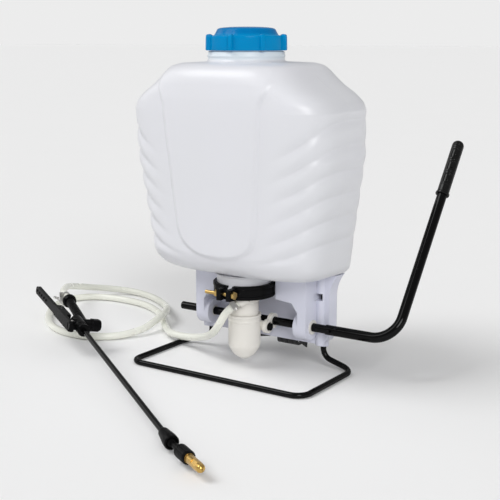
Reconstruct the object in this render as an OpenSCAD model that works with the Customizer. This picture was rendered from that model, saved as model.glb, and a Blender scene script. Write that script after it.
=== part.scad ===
// Lever-operated backpack sprayer, millimetres, +Z up, standing on its rod frame.
// +X is the lever side, -Y the tank's front panel, +Y the wearer's back.

/* [Placing] */
// tank axis to the right of the origin
axis_x = 96.5; // [70:0.5:120]
// tank axis behind the origin
axis_y = 84.5; // [60:0.5:110]

/* [Tank] */
// width over the two side lobes
tank_w = 356; // [330:1:370]
// front panel, ahead of the tank axis
tank_front = 103; // [95:1:112]
// back face, behind the tank axis
tank_back = 112; // [104:1:120]
// underside above the floor
tank_bottom = 158; // [152:1:164]
// height of the crown above the floor
tank_top = 486; // [470:1:500]
// moulded wall
tank_wall = 3.2; // [2.8:0.1:4]
// corner power of the plan outline, 2 is an ellipse
tank_power = 4; // [3:0.1:5]
// front panel width at the top
panel_top_w = 170; // [155:1:185]
// front panel width at the bottom
panel_low_w = 128; // [115:1:140]
// front panel step
panel_proud = 4; // [2:0.5:6]
// grooves on each side lobe
rib_count = 6; // [4:1:7]
// groove depth
rib_depth = 4.6; // [3:0.1:5]
// climb of a groove from the panel to the side
rib_climb = 40; // [30:1:48]

/* [Filler] */
// neck radius at the tank
neck_r = 59; // [56:0.5:62]
// mouth wall
neck_wall = 3.5; // [3:0.1:4.5]
// cap height above the neck shoulder
cap_h = 37.5; // [34:0.5:42]
// cap skirt wall
cap_wall = 4.2; // [3.5:0.1:5]
// grip lugs round the cap
cap_lugs = 8; // [6:1:12]
// strainer depth
strainer_h = 78; // [60:1:95]

/* [Stand] */
// rod diameter
rod_d = 9; // [8:0.5:10]
// rod centre-lines, side to side
stand_w = 327; // [310:1:340]
// front bar ahead of the tank axis
stand_front = 96; // [88:1:104]
// uprights behind the tank axis
stand_back = 57; // [55:1:60]
// distance between the uprights
upright_w = 221; // [216:1:224]
// bend radius of the front corners
rod_bend = 22; // [18:1:26]
// bend radius at the back and into the uprights
back_bend = 18; // [15:1:20]
// climb of the rod from the back corners
rod_rise = 16; // [14:1:20]

/* [Base] */
// base panel width
panel_w = 254; // [250:1:262]
// base panel thickness
panel_t = 24; // [22:1:24]
// lower edge of the base panel
panel_z = 42; // [38:1:46]
// shaft lobe radius
lobe_r = 21; // [19:0.5:23]
// lobe outer face from the middle
lobe_x = 106; // [102:1:110]
// lobe length
lobe_l = 24; // [20:1:30]

/* [Pump] */
// pump axis ahead of the tank axis
pump_y = 6; // [5:0.5:8]
// neck clamp outer radius
clamp_r = 50; // [49.5:0.5:50.5]
// neck clamp height
clamp_h = 22; // [20:1:24]
// cup outside radius
cup_r = 26; // [25:0.5:26.5]
// cup wall
cup_wall = 1.8; // [1.5:0.1:2.2]
// cup rim height at rest
cup_rim = 89; // [86:1:90]
// cup tip height at rest
cup_tip = 14; // [12:1:18]
// trunnion pin radius
pin_r = 6; // [5:0.5:6.5]

/* [Lever] */
// shaft behind the tank axis
shaft_y = 28; // [27.5:0.5:30]
// shaft height
shaft_z = 74; // [72:1:77]
// shaft radius
shaft_r = 6.75; // [6:0.25:7]
// free end of the shaft, left of the middle
stub_x = 150; // [142:1:158]
// lever tube radius
tube_r = 8; // [7.5:0.25:8.5]
// lever bend, to the corner
lever_x = 250; // [235:1:260]
// lever bend radius
lever_bend = 40; // [32:1:46]
// lever arm from the shaft to the grip's end
lever_l = 357; // [330:1:370]
// lean of the arm behind the vertical
lever_lean = 37.5; // [32:0.5:42]
// grip length
grip_l = 101; // [90:1:112]
// full stroke of the lever
lever_swing = 46; // [40:1:46]

/* [Hose] */
// hose outside diameter
hose_d = 12.6; // [11:0.2:14]

/* [Lance] */
// turn of the lance on the floor
lance_yaw = -33; // [-36:0.5:-30]
// slope of the lance, nose down
lance_pitch = 4.3; // [4:0.1:4.6]
// roll of the handle about the lance
handle_roll = 80; // [74:1:86]
// lance tube radius
lance_r = 4.25; // [3.5:0.25:5]
// lance from the valve to the front of its collar
lance_l = 474; // [455:1:490]
// grip radius
hand_r = 7.8; // [7.4:0.2:9]
// grip length
hand_l = 135; // [125:1:145]
// trigger length from its pin
trigger_l = 212; // [190:1:220]
// trigger stroke
trigger_swing = 6; // [4:0.5:6.5]

/* [Straps] */
// webbing width
web_w = 40; // [36:1:46]
// webbing thickness
web_t = 2.4; // [2:0.1:3]
// strap centre from the middle
strap_x = 44; // [40:1:48]
// pad width
pad_w = 62; // [54:1:70]
// pad thickness
pad_t = 13; // [10:1:16]

/* [Fits] */
// gap between moving parts
gap = 0.4; // [0.3:0.1:0.6]
// radial clearance of a turning fit
run = 0.05; // [0.03:0.01:0.1]

/* [Hidden] */
$fn = 72;
rod_r = rod_d / 2;
hose_r = hose_d / 2;
half_w = tank_w / 2;
pump_c = [0, -pump_y, 0];

// filler: a plain shoulder, then the thinner threaded mouth under the cap
neck_top = tank_top + 15;
mouth_r = neck_r - 2.5;
mouth_top = neck_top + 16;
mouth_in = mouth_r - neck_wall;
cap_z = neck_top + 2;
cap_top = neck_top + cap_h;
cap_in = mouth_r + 0.8;
cap_r = cap_in + cap_wall;

// tank spigot, gasket and pump flange stand on one another inside the clamp
spigot_r = 43.5;
flange_r = spigot_r + 3;
flange_t = 6;
spigot_z = tank_bottom - 26;
gasket_t = 1.2;
pump_top = spigot_z - gasket_t;
pump_flange_z = pump_top - flange_t;
clamp_z = spigot_z - clamp_h / 2;

// pump: the cup slides over a fixed tube that carries the seal
cup_in = cup_r - cup_wall;
tube_out = cup_in - 1.2;
seal_r = cup_in - run;
piston_z = 57;
cup_floor = 40;
trunnion_r = pin_r + 2;
crank_l = trunnion_r + shaft_r + 0.65;
trunnion_y = shaft_y - crank_l;
trunnion_z = shaft_z - crank_l * tan(lever_swing / 2);
cup_travel = 2 * crank_l * tan(lever_swing / 2);
crank_x = cup_r + 1 + 1.3;
crank_t = 7;

// outlet on the pump tube, aimed at the floor on the left
outlet = [18, -pump_y - 27.5, pump_flange_z - 5.3];
outlet_dir = unit([-0.72, -0.40, -0.57]);
boss_l = 9;

// base panel and the stand's sockets
panel_front = stand_back - panel_t / 2;
panel_back = stand_back + panel_t / 2;
socket_x = upright_w / 2;
socket_r = rod_r + 0.1;
upright_top = tank_bottom - 10;
wing_x = 50;
wing_front = shaft_y - lobe_r;
bush_r = shaft_r + 1.8;
pocket_t = web_t + 2.6;
pocket_y = panel_front + 8;
// free end of the shaft, turned down so that a second lever slides on
stub_r = shaft_r - 0.25;
stub_from = lobe_x + 4;

// lance frame: origin in the valve, local +X to the nozzle, local +Z to the trigger
valve_at = [-266, -104.5, 49.6];
lance_dir = turn(lance_pitch, lance_yaw);
grip_droop = 3.3;
grip_dir = [-cos(grip_droop), 0, -sin(grip_droop)];
grip_at = [-10, 0, -9.5];
hinge_x = 6;
hinge_z = 16.5;
stem_x = -7;
trigger_lift = 2.4;
collar_l = 36;
nozzle_pitch = -2;
nozzle_yaw = -31.5;
nozzle_at = valve_at + lance_l * lance_dir;

// hose: from the pump down over the stand rail, a turn and a half on the floor, up to the handle
hose_floor = hose_r + 0.5;
hose_in = [for (s = [boss_l, 24]) outlet + s * outlet_dir];
hose_free = [
    [-13, -42, 92], [-23, -43, 76], [-38, -36, 60], [-62, -18, 45], [-96, 5, 31],
    [-130, 20, 22], [-160, 28, 18], [-190, 45, 14], [-222, 74, 8], [-262, 114, hose_floor],
    [-312, 162, hose_floor], [-376, 196, hose_floor], [-450, 204, hose_floor],
    [-506, 186, hose_floor], [-528, 146, hose_floor], [-518, 98, hose_floor],
    [-486, 46, hose_floor], [-444, 2, hose_floor], [-400, -27, hose_floor],
    [-352, -38, hose_floor], [-306, -30, hose_floor], [-272, 0, hose_floor],
    [-255, 42, 11], [-253, 74, 18], [-259, 108, 23], [-280, 146, 22], [-316, 188, 14],
    [-360, 228, 8], [-412, 256, hose_floor], [-464, 264, 8], [-504, 242, 13],
    [-520, 200, 22], [-513, 148, 35], [-486, 96, 48]];
hose_out = [for (s = [60, 30, 8]) in_lance(grip_at + (hand_l + s) * grip_dir)];
hose_path = concat(hose_in, hose_free, hose_out);
hose_steps = 2;

place() tank();
place() base();
place() stand_frame();
place() filler_cap();
place() cap_gasket();
place() cap_vent();
place() strainer();
place() neck_clamp();
place() clamp_bolt();
place() clamp_nut();
place() neck_gasket();
place() pump_body();
place() air_chamber();
place() piston_seal();
place() outlet_ball();
place() pump_cup();
place() trunnion_pins();
place() lever_shaft();
place() crank_arms();
place() shaft_bushes();
place() lever_tube();
place() lever_pin();
place() lever_grip();
place() hose();
place() pump_hose_clip();
place() handle_hose_clip();
place() handle();
place() handle_collar();
place() trigger();
place() trigger_pin();
place() trigger_lock();
place() valve_stem();
place() valve_spring();
place() valve_cap();
place() lance_nut();
place() lance_tube();
place() lance_seal();
place() lance_collar();
place() nozzle_neck();
place() nozzle_nut();
place() nozzle_tip();
place() swirl_core();
place() strap(-1);  // strap_left
place() strap(1);  // strap_right
place() pad(-1);  // pad_left
place() pad(1);  // pad_right
place() strap_anchors();
place() strap_adjusters();

// tools

function unit(v) = v / norm(v);
function mix(a, b, t) = a + (b - a) * t;
function clamp01(t) = max(0, min(1, t));
function ease(t) = let (u = clamp01(t)) u * u * (3 - 2 * u);
function spow(v, p) = sign(v) * pow(abs(v), p);

// local +X after a nose-down pitch and a turn about Z
function turn(pitch, yaw) = [cos(pitch) * cos(yaw), cos(pitch) * sin(yaw), -sin(pitch)];

// a point given in the lance frame, in the tank-axis frame
function in_lance(p) =
    let (c = cos(handle_roll), s = sin(handle_roll))
    let (q = [p.x, c * p.y - s * p.z, s * p.y + c * p.z])
    let (cp = cos(lance_pitch), sp = sin(lance_pitch))
    let (r = [cp * q.x + sp * q.z, q.y, -sp * q.x + cp * q.z])
    let (cy = cos(lance_yaw), sy = sin(lance_yaw))
    valve_at + [cy * r.x - sy * r.y, sy * r.x + cy * r.y, r.z];

module place() translate([axis_x, axis_y, 0]) children();
module lance_frame() translate(valve_at) rotate([handle_roll, lance_pitch, lance_yaw]) children();
module nozzle_frame() translate(nozzle_at) rotate([0, nozzle_pitch, nozzle_yaw]) children();
module pump_frame() translate(pump_c) children();
module both_sides() for (s = [0, 1]) mirror([s, 0, 0]) children();
module along_x(x, y, z) translate([x, y, z]) rotate([0, 90, 0]) children();

// turns local +Z to a direction
module aim(at, dir) {
    d = unit(dir);
    translate(at) rotate([0, acos(d.z), atan2(d.y, d.x)]) children();
}

module ring(r_out, r_in, h) {
    difference() {
        cylinder(r = r_out, h = h);
        translate([0, 0, -1]) cylinder(r = r_in, h = h + 2);
    }
}

// a smooth curve through points, with steps pieces between each pair
function through(p, steps) = [
    for (i = [0 : len(p) - 2])
    let (a = p[max(0, i - 1)], b = p[i], c = p[i + 1], d = p[min(len(p) - 1, i + 2)])
    for (k = [0 : steps - (i == len(p) - 2 ? 0 : 1)])
    let (t = k / steps)
    0.5 * (2 * b + (c - a) * t + (2 * a - 5 * b + 4 * c - d) * t * t
        + (3 * b - a - 3 * c + d) * t * t * t)];

function tangent(p, i) = unit(p[min(len(p) - 1, i + 1)] - p[max(0, i - 1)]);

// faces of a closed tube of rings, n points each
function skin_faces(rings, n) = concat(
    [[for (j = [0 : n - 1]) j]],
    [for (i = [0 : rings - 2]) for (j = [0 : n - 1])
        let (a = i * n + j, b = i * n + (j + 1) % n)
        each [[a, a + n, b], [b, a + n, b + n]]],
    [[for (j = [n - 1 : -1 : 0]) (rings - 1) * n + j]]);

// sweeps a section, points (side, up), along a path that is never upright
module sweep(path, section, side_axis) {
    n = len(section);
    pts = [for (i = [0 : len(path) - 1])
        let (t = tangent(path, i))
        let (s = unit(side_axis == undef ? cross(t, [0, 0, 1]) : side_axis - (side_axis * t) * t))
        let (u = cross(s, t))
        for (q = section) path[i] + q.x * s + q.y * u];
    polyhedron(points = pts, faces = skin_faces(len(path), n), convexity = 10);
}

function round_section(r, n) = [for (j = [0 : n - 1]) r * [cos(-360 * j / n), sin(-360 * j / n)]];

// tank

// the side wall narrows below this height
taper_z = tank_top - 141;
taper = 0.15;
front_slope = 0.08;
shoulder_z = tank_top - 71;
// height above the shoulder line, share of the half width
shoulder = [[0, 1], [12, 0.965], [24, 0.885], [36, 0.775], [47, 0.695], [59, 0.63],
    [66, 0.58], [70.5, 0.475]];
crown_r = 34;
bottom_r_front = 40;
bottom_r_back = 12;
columns = 48;
panel_cols = 4;
side_col = 13;

function tank_half(z) =
    z <= shoulder_z ? half_w - taper * max(0, taper_z - z)
    : half_w * lookup(z - shoulder_z, shoulder);
function crown_inset(z) =
    let (t = clamp01((z - tank_top + crown_r) / crown_r)) crown_r * (1 - sqrt(1 - t * t));
function front_at(z) =
    -tank_front + panel_proud + front_slope * max(0, shoulder_z - z) + crown_inset(z);
function back_at(z) = tank_back - crown_inset(z);
// the raised panel narrows downwards and ends in a round foot
panel_foot = tank_bottom + 34;
foot_h = 48;
// the panel's edges spread and flatten over the shoulder
panel_spread = 14;
function panel_half(z) =
    let (side = mix(panel_low_w, panel_top_w, clamp01((z - tank_bottom) / (shoulder_z - tank_bottom))) / 2)
    let (t = clamp01(1 - (z - panel_foot) / foot_h))
    side * max(0.3, pow(1 - pow(t, 2.4), 1 / 2.4)) + panel_spread * ease((z - shoulder_z - 5) / 40);
function panel_step(z) = panel_proud * ease((z - panel_foot + 5) / 8)
    * (1 - 0.7 * ease((z - shoulder_z - 15) / 35));

// groove number at height z, s from 0 at the front edge to 1 at the side
function groove_no(z, s) = let (top = shoulder_z - 35, low = tank_bottom + 22)
    (z - low - rib_climb * s * (2 - s)) / ((top - low - 43) / (rib_count - 1) + 5 * s);
function rib(z, s) = let (k = groove_no(z, s))
    k < -0.5 || k > rib_count - 0.5 ? 0 : rib_depth * (1 - pow(abs(sin(180 * k)), 0.85));

// mirrored column number: 0 front middle, side_col the side, columns / 2 back middle
function fold(i) = min(i, columns - i);
function hand(i) = i <= columns / 2 ? 1 : -1;
function bottom_r(i) = mix(bottom_r_front, bottom_r_back, ease((fold(i) - 8) / 8));

// one point of the plan outline at height z, drawn in by inset
function outline(i, z, inset) =
    let (k = fold(i), a = tank_half(z) - inset)
    let (yf = front_at(z) + inset, yb = back_at(z) - inset)
    let (yc = (yf + yb) / 2, b = (yb - yf) / 2)
    let (w = min(panel_half(z), a - 14), e = 2 / tank_power)
    let (edge = -acos(pow((w + 6) / a, 1 / e)))
    let (phi = k <= side_col ? edge * (1 - (k - panel_cols - 1) / (side_col - panel_cols - 1))
        : 90 * (k - side_col) / (columns / 2 - side_col))
    let (flat = k <= panel_cols, x0 = w * k / panel_cols)
    let (p = flat ? [x0, yc - b * pow(1 - pow(x0 / a, tank_power), 1 / tank_power) - panel_step(z)]
        : [a * spow(cos(phi), e), yc + b * spow(sin(phi), e)])
    let (s = clamp01((k - panel_cols - 1) / 8))
    let (fade = ease((k - panel_cols - 1) / 3.5) * (1 - ease((k - 16) / 5)))
    let (g = flat ? 0 : rib(z, s) * fade, d = unit([p.x / a, (p.y - yc) / b]))
    [hand(i) * (p.x - g * d.x), p.y - g * d.y, z];

function circle_pt(i, r, c, z) =
    [r * sin(360 * i / columns), c - r * cos(360 * i / columns), z];

// skin of the tank from the spigot's lip up to the mouth, wall w inside the outer face
function tank_skin(w) = concat(
    [for (q = w == 0
        ? [[flange_r, spigot_z], [flange_r, spigot_z + flange_t],
           [spigot_r, spigot_z + flange_t + 2], [spigot_r, tank_bottom - 4], [spigot_r + 5, tank_bottom]]
        : [[spigot_r - w, spigot_z], [spigot_r - w, tank_bottom - 1],
           [spigot_r + 1, tank_bottom + w]])
        [for (i = [0 : columns - 1]) circle_pt(i, q[0], -pump_y, q[1])]],
    [for (t = [90 : -15 : 0])
        [for (i = [0 : columns - 1])
            let (r = bottom_r(i), z = tank_bottom + r * (1 - sin(t)))
            let (p = outline(i, z, r * (1 - cos(t)) + w))
            [p.x, p.y, max(z, tank_bottom + w)]]],
    [for (z = [tank_bottom + 48 : 8 : shoulder_z - 4])
        [for (i = [0 : columns - 1]) outline(i, z, w)]],
    [for (h = [2, 9, 15, 21, 27, 33, 39, 45, 51, 57, 62, 66, 69.5])
        [for (i = [0 : columns - 1])
            let (p = outline(i, shoulder_z + h, w))
            [p.x, p.y, p.z - w * ease((h - 8) / 60)]]],
    [for (q = w == 0
        ? [[neck_r + 6, tank_top], [neck_r, tank_top + 3], [neck_r, neck_top],
           [mouth_r, neck_top + 1], [mouth_r, mouth_top]]
        : [[mouth_in + 4, tank_top - w], [mouth_in, tank_top + 1], [mouth_in, mouth_top]])
        [for (i = [0 : columns - 1]) circle_pt(i, q[0], 0, q[1])]]);

module tank() {
    outer = tank_skin(0);
    inner = tank_skin(tank_wall);
    loops = concat(outer, [for (k = [len(inner) - 1 : -1 : 0]) inner[k]]);
    n = columns;
    m = len(loops);
    color([0.93, 0.94, 0.94])
        polyhedron(
            points = [for (l = loops) each l],
            faces = [for (k = [0 : m - 1]) for (i = [0 : n - 1])
                let (a = k * n + i, b = k * n + (i + 1) % n)
                let (c = ((k + 1) % m) * n + i, d = ((k + 1) % m) * n + (i + 1) % n)
                each [[a, c, b], [b, c, d]]],
            convexity = 10);
}

// base moulding: a panel across the back, two wings and the lobes that carry the shaft

module rounded_panel(w, z0, z1, r) {
    translate([-w / 2, z0 + r]) square([w, z1 - z0 - r]);
    translate([-w / 2 + r, z0]) square([w - 2 * r, r + 1]);
    for (x = [-1, 1]) translate([x * (w / 2 - r), z0 + r]) circle(r);
}

// hollow flare that widens the panel up to the tank
module flare(w, z1, r, h) {
    difference() {
        translate([w / 2 - 1, z1 - h]) square([r - sqrt(r * r - h * h) + 1, h]);
        translate([w / 2 + r, z1 - h]) circle(r);
    }
}

module wing_profile() {
    top = tank_bottom;
    edge = lobe_x - lobe_l + 8;
    polygon([[wing_x, top], [wing_x, top - 42], [edge - 10, top - 45], [edge, top - 59],
        [edge, shaft_z], [lobe_x, shaft_z], [lobe_x, top]]);
}

module base() {
    slot_z = panel_z + 9;
    window = 11;
    window_z = tank_bottom - 43;
    color([0.90, 0.91, 0.93])
        difference() {
            union() {
                translate([0, panel_back, 0]) rotate([90, 0, 0]) linear_extrude(panel_t) {
                    rounded_panel(panel_w, panel_z, tank_bottom, 22);
                    both_sides() flare(panel_w, tank_bottom, 60, 38);
                }
                both_sides() {
                    translate([0, panel_front + 1, 0]) rotate([90, 0, 0])
                        linear_extrude(panel_front + 1 - wing_front) wing_profile();
                    along_x(lobe_x - lobe_l, shaft_y, shaft_z) cylinder(r = lobe_r, h = lobe_l);
                    translate([socket_x, panel_front + 3, panel_z - 1])
                        cylinder(r = rod_r + 3.8, h = tank_bottom - panel_z + 1);
                    translate([socket_x, stand_back, panel_z - 4]) cylinder(r = rod_r + 4, h = 12);
                }
            }
            both_sides() {
                along_x(lobe_x - lobe_l - 1, shaft_y, shaft_z) cylinder(r = bush_r, h = lobe_l + 2);
                translate([socket_x, stand_back, panel_z - 9])
                    cylinder(r = socket_r, h = upright_top + 2 - panel_z + 9);
                translate([socket_x - window / 2, panel_front - 12, window_z])
                    cube([window, stand_back - panel_front + 12, window]);
                // strap pocket: in from the back, out at the lower edge
                translate([strap_x - web_w / 2 - 2, pocket_y, 0]) {
                    translate([0, 0, slot_z]) cube([web_w + 4, panel_t, 8]);
                    translate([0, 0, panel_z - 1]) cube([web_w + 4, pocket_t, slot_z - panel_z + 9]);
                }
                // moulding opened from the back
                translate([wing_x + 4, wing_front + 5, tank_bottom - 38])
                    cube([lobe_x - wing_x - 22, panel_back - wing_front, 33]);
            }
            translate([-36, panel_back - 12, panel_z + 32]) cube([72, 20, 68]);
        }
}

// stand: one rod bent up at both ends

// straight lengths run a hair over the bends that they meet
seam = 0.08;

module bend(r, a) rotate_extrude(angle = a) translate([r, 0]) circle(rod_r);

module stand_frame() {
    hx = stand_w / 2;
    b = rod_bend;
    z = rod_r + seam;
    // climbing stretch: along the slope from the back corner to where the upright's bend starts
    run_l = (hx - socket_x - back_bend * (1 - sin(rod_rise))) / cos(rod_rise);
    bend_z = z + run_l * sin(rod_rise) + back_bend * cos(rod_rise);
    color([0.06, 0.06, 0.065])
        union() {
            along_x(-hx + b, -stand_front, z) cylinder(r = rod_r, h = stand_w - 2 * b);
            both_sides() {
                translate([hx - b, b - stand_front, z]) rotate([0, 0, -90]) bend(b, 90);
                translate([hx, b - stand_front - 0.5, z]) rotate([-90, 0, 0])
                    cylinder(r = rod_r + seam, h = stand_front + stand_back - b - back_bend + 1);
                translate([hx, stand_back, z]) rotate([0, rod_rise, 0]) {
                    translate([-back_bend, -back_bend, 0]) bend(back_bend, 90);
                    along_x(-run_l - 0.5, 0, 0) cylinder(r = rod_r + seam, h = run_l - back_bend + 1);
                    translate([-run_l, 0, back_bend]) rotate([90, 0, 0])
                        rotate([0, 0, 180 + rod_rise]) bend(back_bend, 90 - rod_rise);
                }
                translate([socket_x, stand_back, bend_z - 0.5])
                    cylinder(r = rod_r + seam, h = upright_top - bend_z + 0.5);
            }
        }
}

// filler

module filler_cap() {
    plate = 4;
    dome_r = cap_r - 12;
    rim = cap_top - 13;
    color([0.05, 0.25, 0.68])
        difference() {
            union() {
                rotate_extrude() polygon([[cap_in, cap_z], [cap_r, cap_z], [cap_r, rim - 2],
                    [cap_r - 2, rim], [dome_r, rim], [dome_r - 4, cap_top - 2],
                    [dome_r - 7, cap_top], [0, cap_top], [0, rim - plate], [cap_in, rim - plate]]);
                for (k = [0 : cap_lugs - 1]) rotate([0, 0, 360 * k / cap_lugs])
                    translate([cap_r - 4.4, 0, cap_z]) cylinder(r = 7, h = rim - cap_z);
            }
            translate([0, 0, cap_z - 1]) cylinder(r = cap_in, h = rim - plate - cap_z + 1);
            translate([0, 0, rim - plate - 1]) cylinder(r = 2.6, h = 40);
            translate([0, 0, rim - plate - 1]) cylinder(r = dome_r - 8, h = 11);
        }
}

strainer_lip = 2;
gasket_h = cap_top - 13 - 4 - mouth_top - strainer_lip;

module cap_gasket()
    color([0.12, 0.12, 0.12]) translate([0, 0, mouth_top + strainer_lip])
        ring(mouth_r, mouth_in + 2, gasket_h);

// rubber button that lets air in as the tank empties
module cap_vent() {
    seat = cap_top - 7;
    color([0.1, 0.1, 0.1]) union() {
        translate([0, 0, seat - 2.5]) cylinder(r = 9, h = 2.5);
        translate([0, 0, seat - 1]) cylinder(r = 2.6 - run, h = 7);
    }
}

module strainer() {
    r = mouth_in - 1.5;
    slots = 16;
    color([0.12, 0.30, 0.62])
        difference() {
            union() {
                translate([0, 0, mouth_top]) ring(mouth_r, mouth_in - 4, strainer_lip);
                rotate_extrude() polygon([[r, mouth_top + 1], [r - 8, mouth_top - strainer_h],
                    [0, mouth_top - strainer_h], [0, mouth_top - strainer_h + 2],
                    [r - 10, mouth_top - strainer_h + 2], [r - 2, mouth_top + 1]]);
            }
            for (k = [0 : slots - 1]) rotate([0, 0, 360 * k / slots])
                translate([r - 16, -5, mouth_top - strainer_h + 8]) cube([30, 10, strainer_h - 26]);
            for (k = [0 : 7]) rotate([0, 0, 45 * k])
                translate([24, 0, mouth_top - strainer_h - 1]) cylinder(r = 6, h = 4);
        }
}

// neck clamp

lug_y = -clamp_r - 9;
bolt_r = 2.9;
bolt_z = spigot_z;
split_x = 5;

module neck_clamp() {
    in_r = flange_r + 0.3;
    lip_r = spigot_r + 0.4;
    z1 = clamp_z + clamp_h;
    low = pump_flange_z - 0.2;
    groove = 0.9;
    color([0.07, 0.07, 0.075]) pump_frame()
        difference() {
            union() {
                rotate_extrude() polygon([[lip_r, clamp_z], [clamp_r - 1, clamp_z],
                    [clamp_r, clamp_z + 1], [clamp_r, clamp_z + 5], [clamp_r - groove, clamp_z + 6],
                    [clamp_r - groove, z1 - 6], [clamp_r, z1 - 5],
                    [clamp_r, z1 - 1], [clamp_r - 1, z1], [lip_r, z1],
                    [lip_r, spigot_z + flange_t + 2.4], [in_r, spigot_z + flange_t + 0.2], [in_r, low],
                    [lip_r, low - 1]]);
                for (x = [-13, 5]) translate([split_x + x, lug_y - 7, clamp_z + 2])
                    cube([8, 18, clamp_h - 4]);
            }
            translate([split_x - 5, lug_y - 20, clamp_z - 1]) cube([10, 36, clamp_h + 2]);
            along_x(split_x - 40, lug_y, bolt_z) cylinder(r = bolt_r + 0.2, h = 80);
        }
}

module clamp_bolt()
    color([0.72, 0.55, 0.25]) pump_frame() union() {
        along_x(split_x + 13, lug_y, bolt_z) cylinder(r = 6, h = 5, $fn = 6);
        along_x(split_x - 38, lug_y, bolt_z) cylinder(r = bolt_r, h = 52);
    }

module clamp_nut()
    color([0.75, 0.60, 0.30]) pump_frame()
        along_x(split_x - 18.5, lug_y, bolt_z) difference() {
            cylinder(r = 6, h = 5.5, $fn = 6);
            translate([0, 0, -1]) cylinder(r = bolt_r, h = 8);
        }

module neck_gasket()
    color([0.1, 0.1, 0.1]) pump_frame() translate([0, 0, pump_top])
        ring(flange_r - 0.5, spigot_r - 3, gasket_t);

// pump

chamber_r = spigot_r - tank_wall - 2.6;
chamber_top = tank_bottom + 172;
chamber_wall = 3;
collar_h = 14;
ball_r = 7;
seat_z = piston_z + 9;

module pump_body() {
    seal_z = piston_z + 4;
    in_r = chamber_r - chamber_wall;
    color([0.92, 0.91, 0.88])
        difference() {
            union() {
                pump_frame() rotate_extrude() polygon([
                    [0, piston_z], [tube_out, piston_z], [tube_out, seal_z], [tube_out - 3, seal_z],
                    [tube_out - 3, seal_z + 7], [tube_out, seal_z + 7], [tube_out, cup_rim + cup_travel + 7],
                    [tube_out + 8, pump_flange_z], [flange_r, pump_flange_z], [flange_r, pump_top],
                    [in_r, pump_top], [in_r, pump_top + collar_h], [in_r - 4, pump_top + collar_h],
                    [in_r - 4, pump_top - 2], [0, pump_top - 2]]);
                aim(outlet - 6 * outlet_dir, outlet_dir) cylinder(r = hose_r + 2, h = 6 + boss_l);
            }
            pump_frame() translate([0, 0, piston_z - 1]) cylinder(r = 5, h = 90);
            pump_frame() translate([0, 0, seat_z]) cylinder(r = ball_r + 1.5, h = 80);
            aim(outlet + (boss_l + 1) * outlet_dir, -outlet_dir) cylinder(r = hose_r - 2.2, h = 24);
        }
}

// half section of the chamber: straight wall and a chamfered dome
module chamber_half(r, low, top) polygon([[0, low], [r, low], [r, top - 15], [r - 5, top - 5],
    [r - 14, top], [0, top]]);

module air_chamber()
    color([0.88, 0.88, 0.84]) pump_frame() rotate_extrude() difference() {
        chamber_half(chamber_r, pump_top, chamber_top);
        translate([-1, 0])
            chamber_half(chamber_r - chamber_wall + 1, pump_top - 1, chamber_top - chamber_wall);
    }

module piston_seal()
    color([0.13, 0.13, 0.13]) pump_frame() translate([0, 0, piston_z + 4]) ring(seal_r, tube_out - 3, 7);

module outlet_ball()
    color([0.75, 0.76, 0.78]) pump_frame()
        translate([0, 0, seat_z + sqrt(ball_r * ball_r - 25) + 0.02]) sphere(ball_r);

module pump_cup() {
    edge = cup_floor - 2;
    color([0.93, 0.92, 0.89])
        difference() {
            union() {
                pump_frame() rotate_extrude() polygon([[0, cup_tip], [4, cup_tip], [9, cup_tip + 2.5],
                    [cup_r - 9, cup_tip + 8], [cup_r - 3, edge - 7], [cup_r - 0.6, edge - 2],
                    [cup_r, edge + 1], [cup_r, cup_rim - 12],
                    [cup_r + 0.6, cup_rim - 11], [cup_r + 0.6, cup_rim - 9], [cup_r, cup_rim - 8],
                    [cup_r, cup_rim - 5], [cup_r + 1, cup_rim - 4], [cup_r + 1, cup_rim],
                    [0, cup_rim]]);
                along_x(-cup_r - 0.8, trunnion_y, trunnion_z)
                    cylinder(r = trunnion_r, h = 2 * cup_r + 1.6);
            }
            pump_frame() translate([0, 0, cup_floor]) cylinder(r = cup_in, h = 80);
            along_x(-cup_r - 2, trunnion_y, trunnion_z) cylinder(r = pin_r, h = 6);
            along_x(cup_r - 4, trunnion_y, trunnion_z) cylinder(r = pin_r, h = 6);
        }
}

module trunnion_pins()
    color([0.07, 0.07, 0.07])
        both_sides() along_x(cup_r - 4, trunnion_y, trunnion_z)
            cylinder(r = pin_r, h = 6 + crank_t + 4);

// shaft and lever

module lever_shaft()
    color([0.06, 0.06, 0.065])
        difference() {
            union() {
                along_x(-stub_from, shaft_y, shaft_z) cylinder(r = shaft_r, h = stub_from + lobe_x + 54);
                along_x(-stub_x, shaft_y, shaft_z) cylinder(r = stub_r, h = stub_x - stub_from + 1);
            }
            translate([-lobe_x - 8, shaft_y - 20, shaft_z]) rotate([-90, 0, 0])
                cylinder(r = 1.8, h = 40);
            translate([lobe_x + 34, shaft_y - 20, shaft_z]) rotate([-90, 0, 0])
                cylinder(r = 2, h = 40);
        }

// slotted rocker on each side of the cup, keyed to the shaft
module crank_arms() {
    far = crank_l / cos(lever_swing / 2);
    slot_r = pin_r + gap;
    color([0.94, 0.93, 0.90])
        both_sides() translate([crank_x, shaft_y, shaft_z]) rotate([lever_swing / 2, 0, 0])
            rotate([0, 90, 0]) linear_extrude(crank_t) difference() {
                union() {
                    circle(shaft_r + 5.5);
                    translate([0, -crank_l]) circle(slot_r + 4.5);
                    translate([0, -far]) circle(slot_r + 4.5);
                    translate([-slot_r - 4.5, -far]) square([2 * slot_r + 9, far - crank_l]);
                    translate([-9, -crank_l]) square([18, crank_l]);
                }
                circle(shaft_r);
                translate([0, -crank_l + 0.3]) circle(slot_r);
                translate([0, -far - 0.3]) circle(slot_r);
                translate([-slot_r, -far - 0.3]) square([2 * slot_r, far - crank_l + 0.6]);
            }
}

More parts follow.
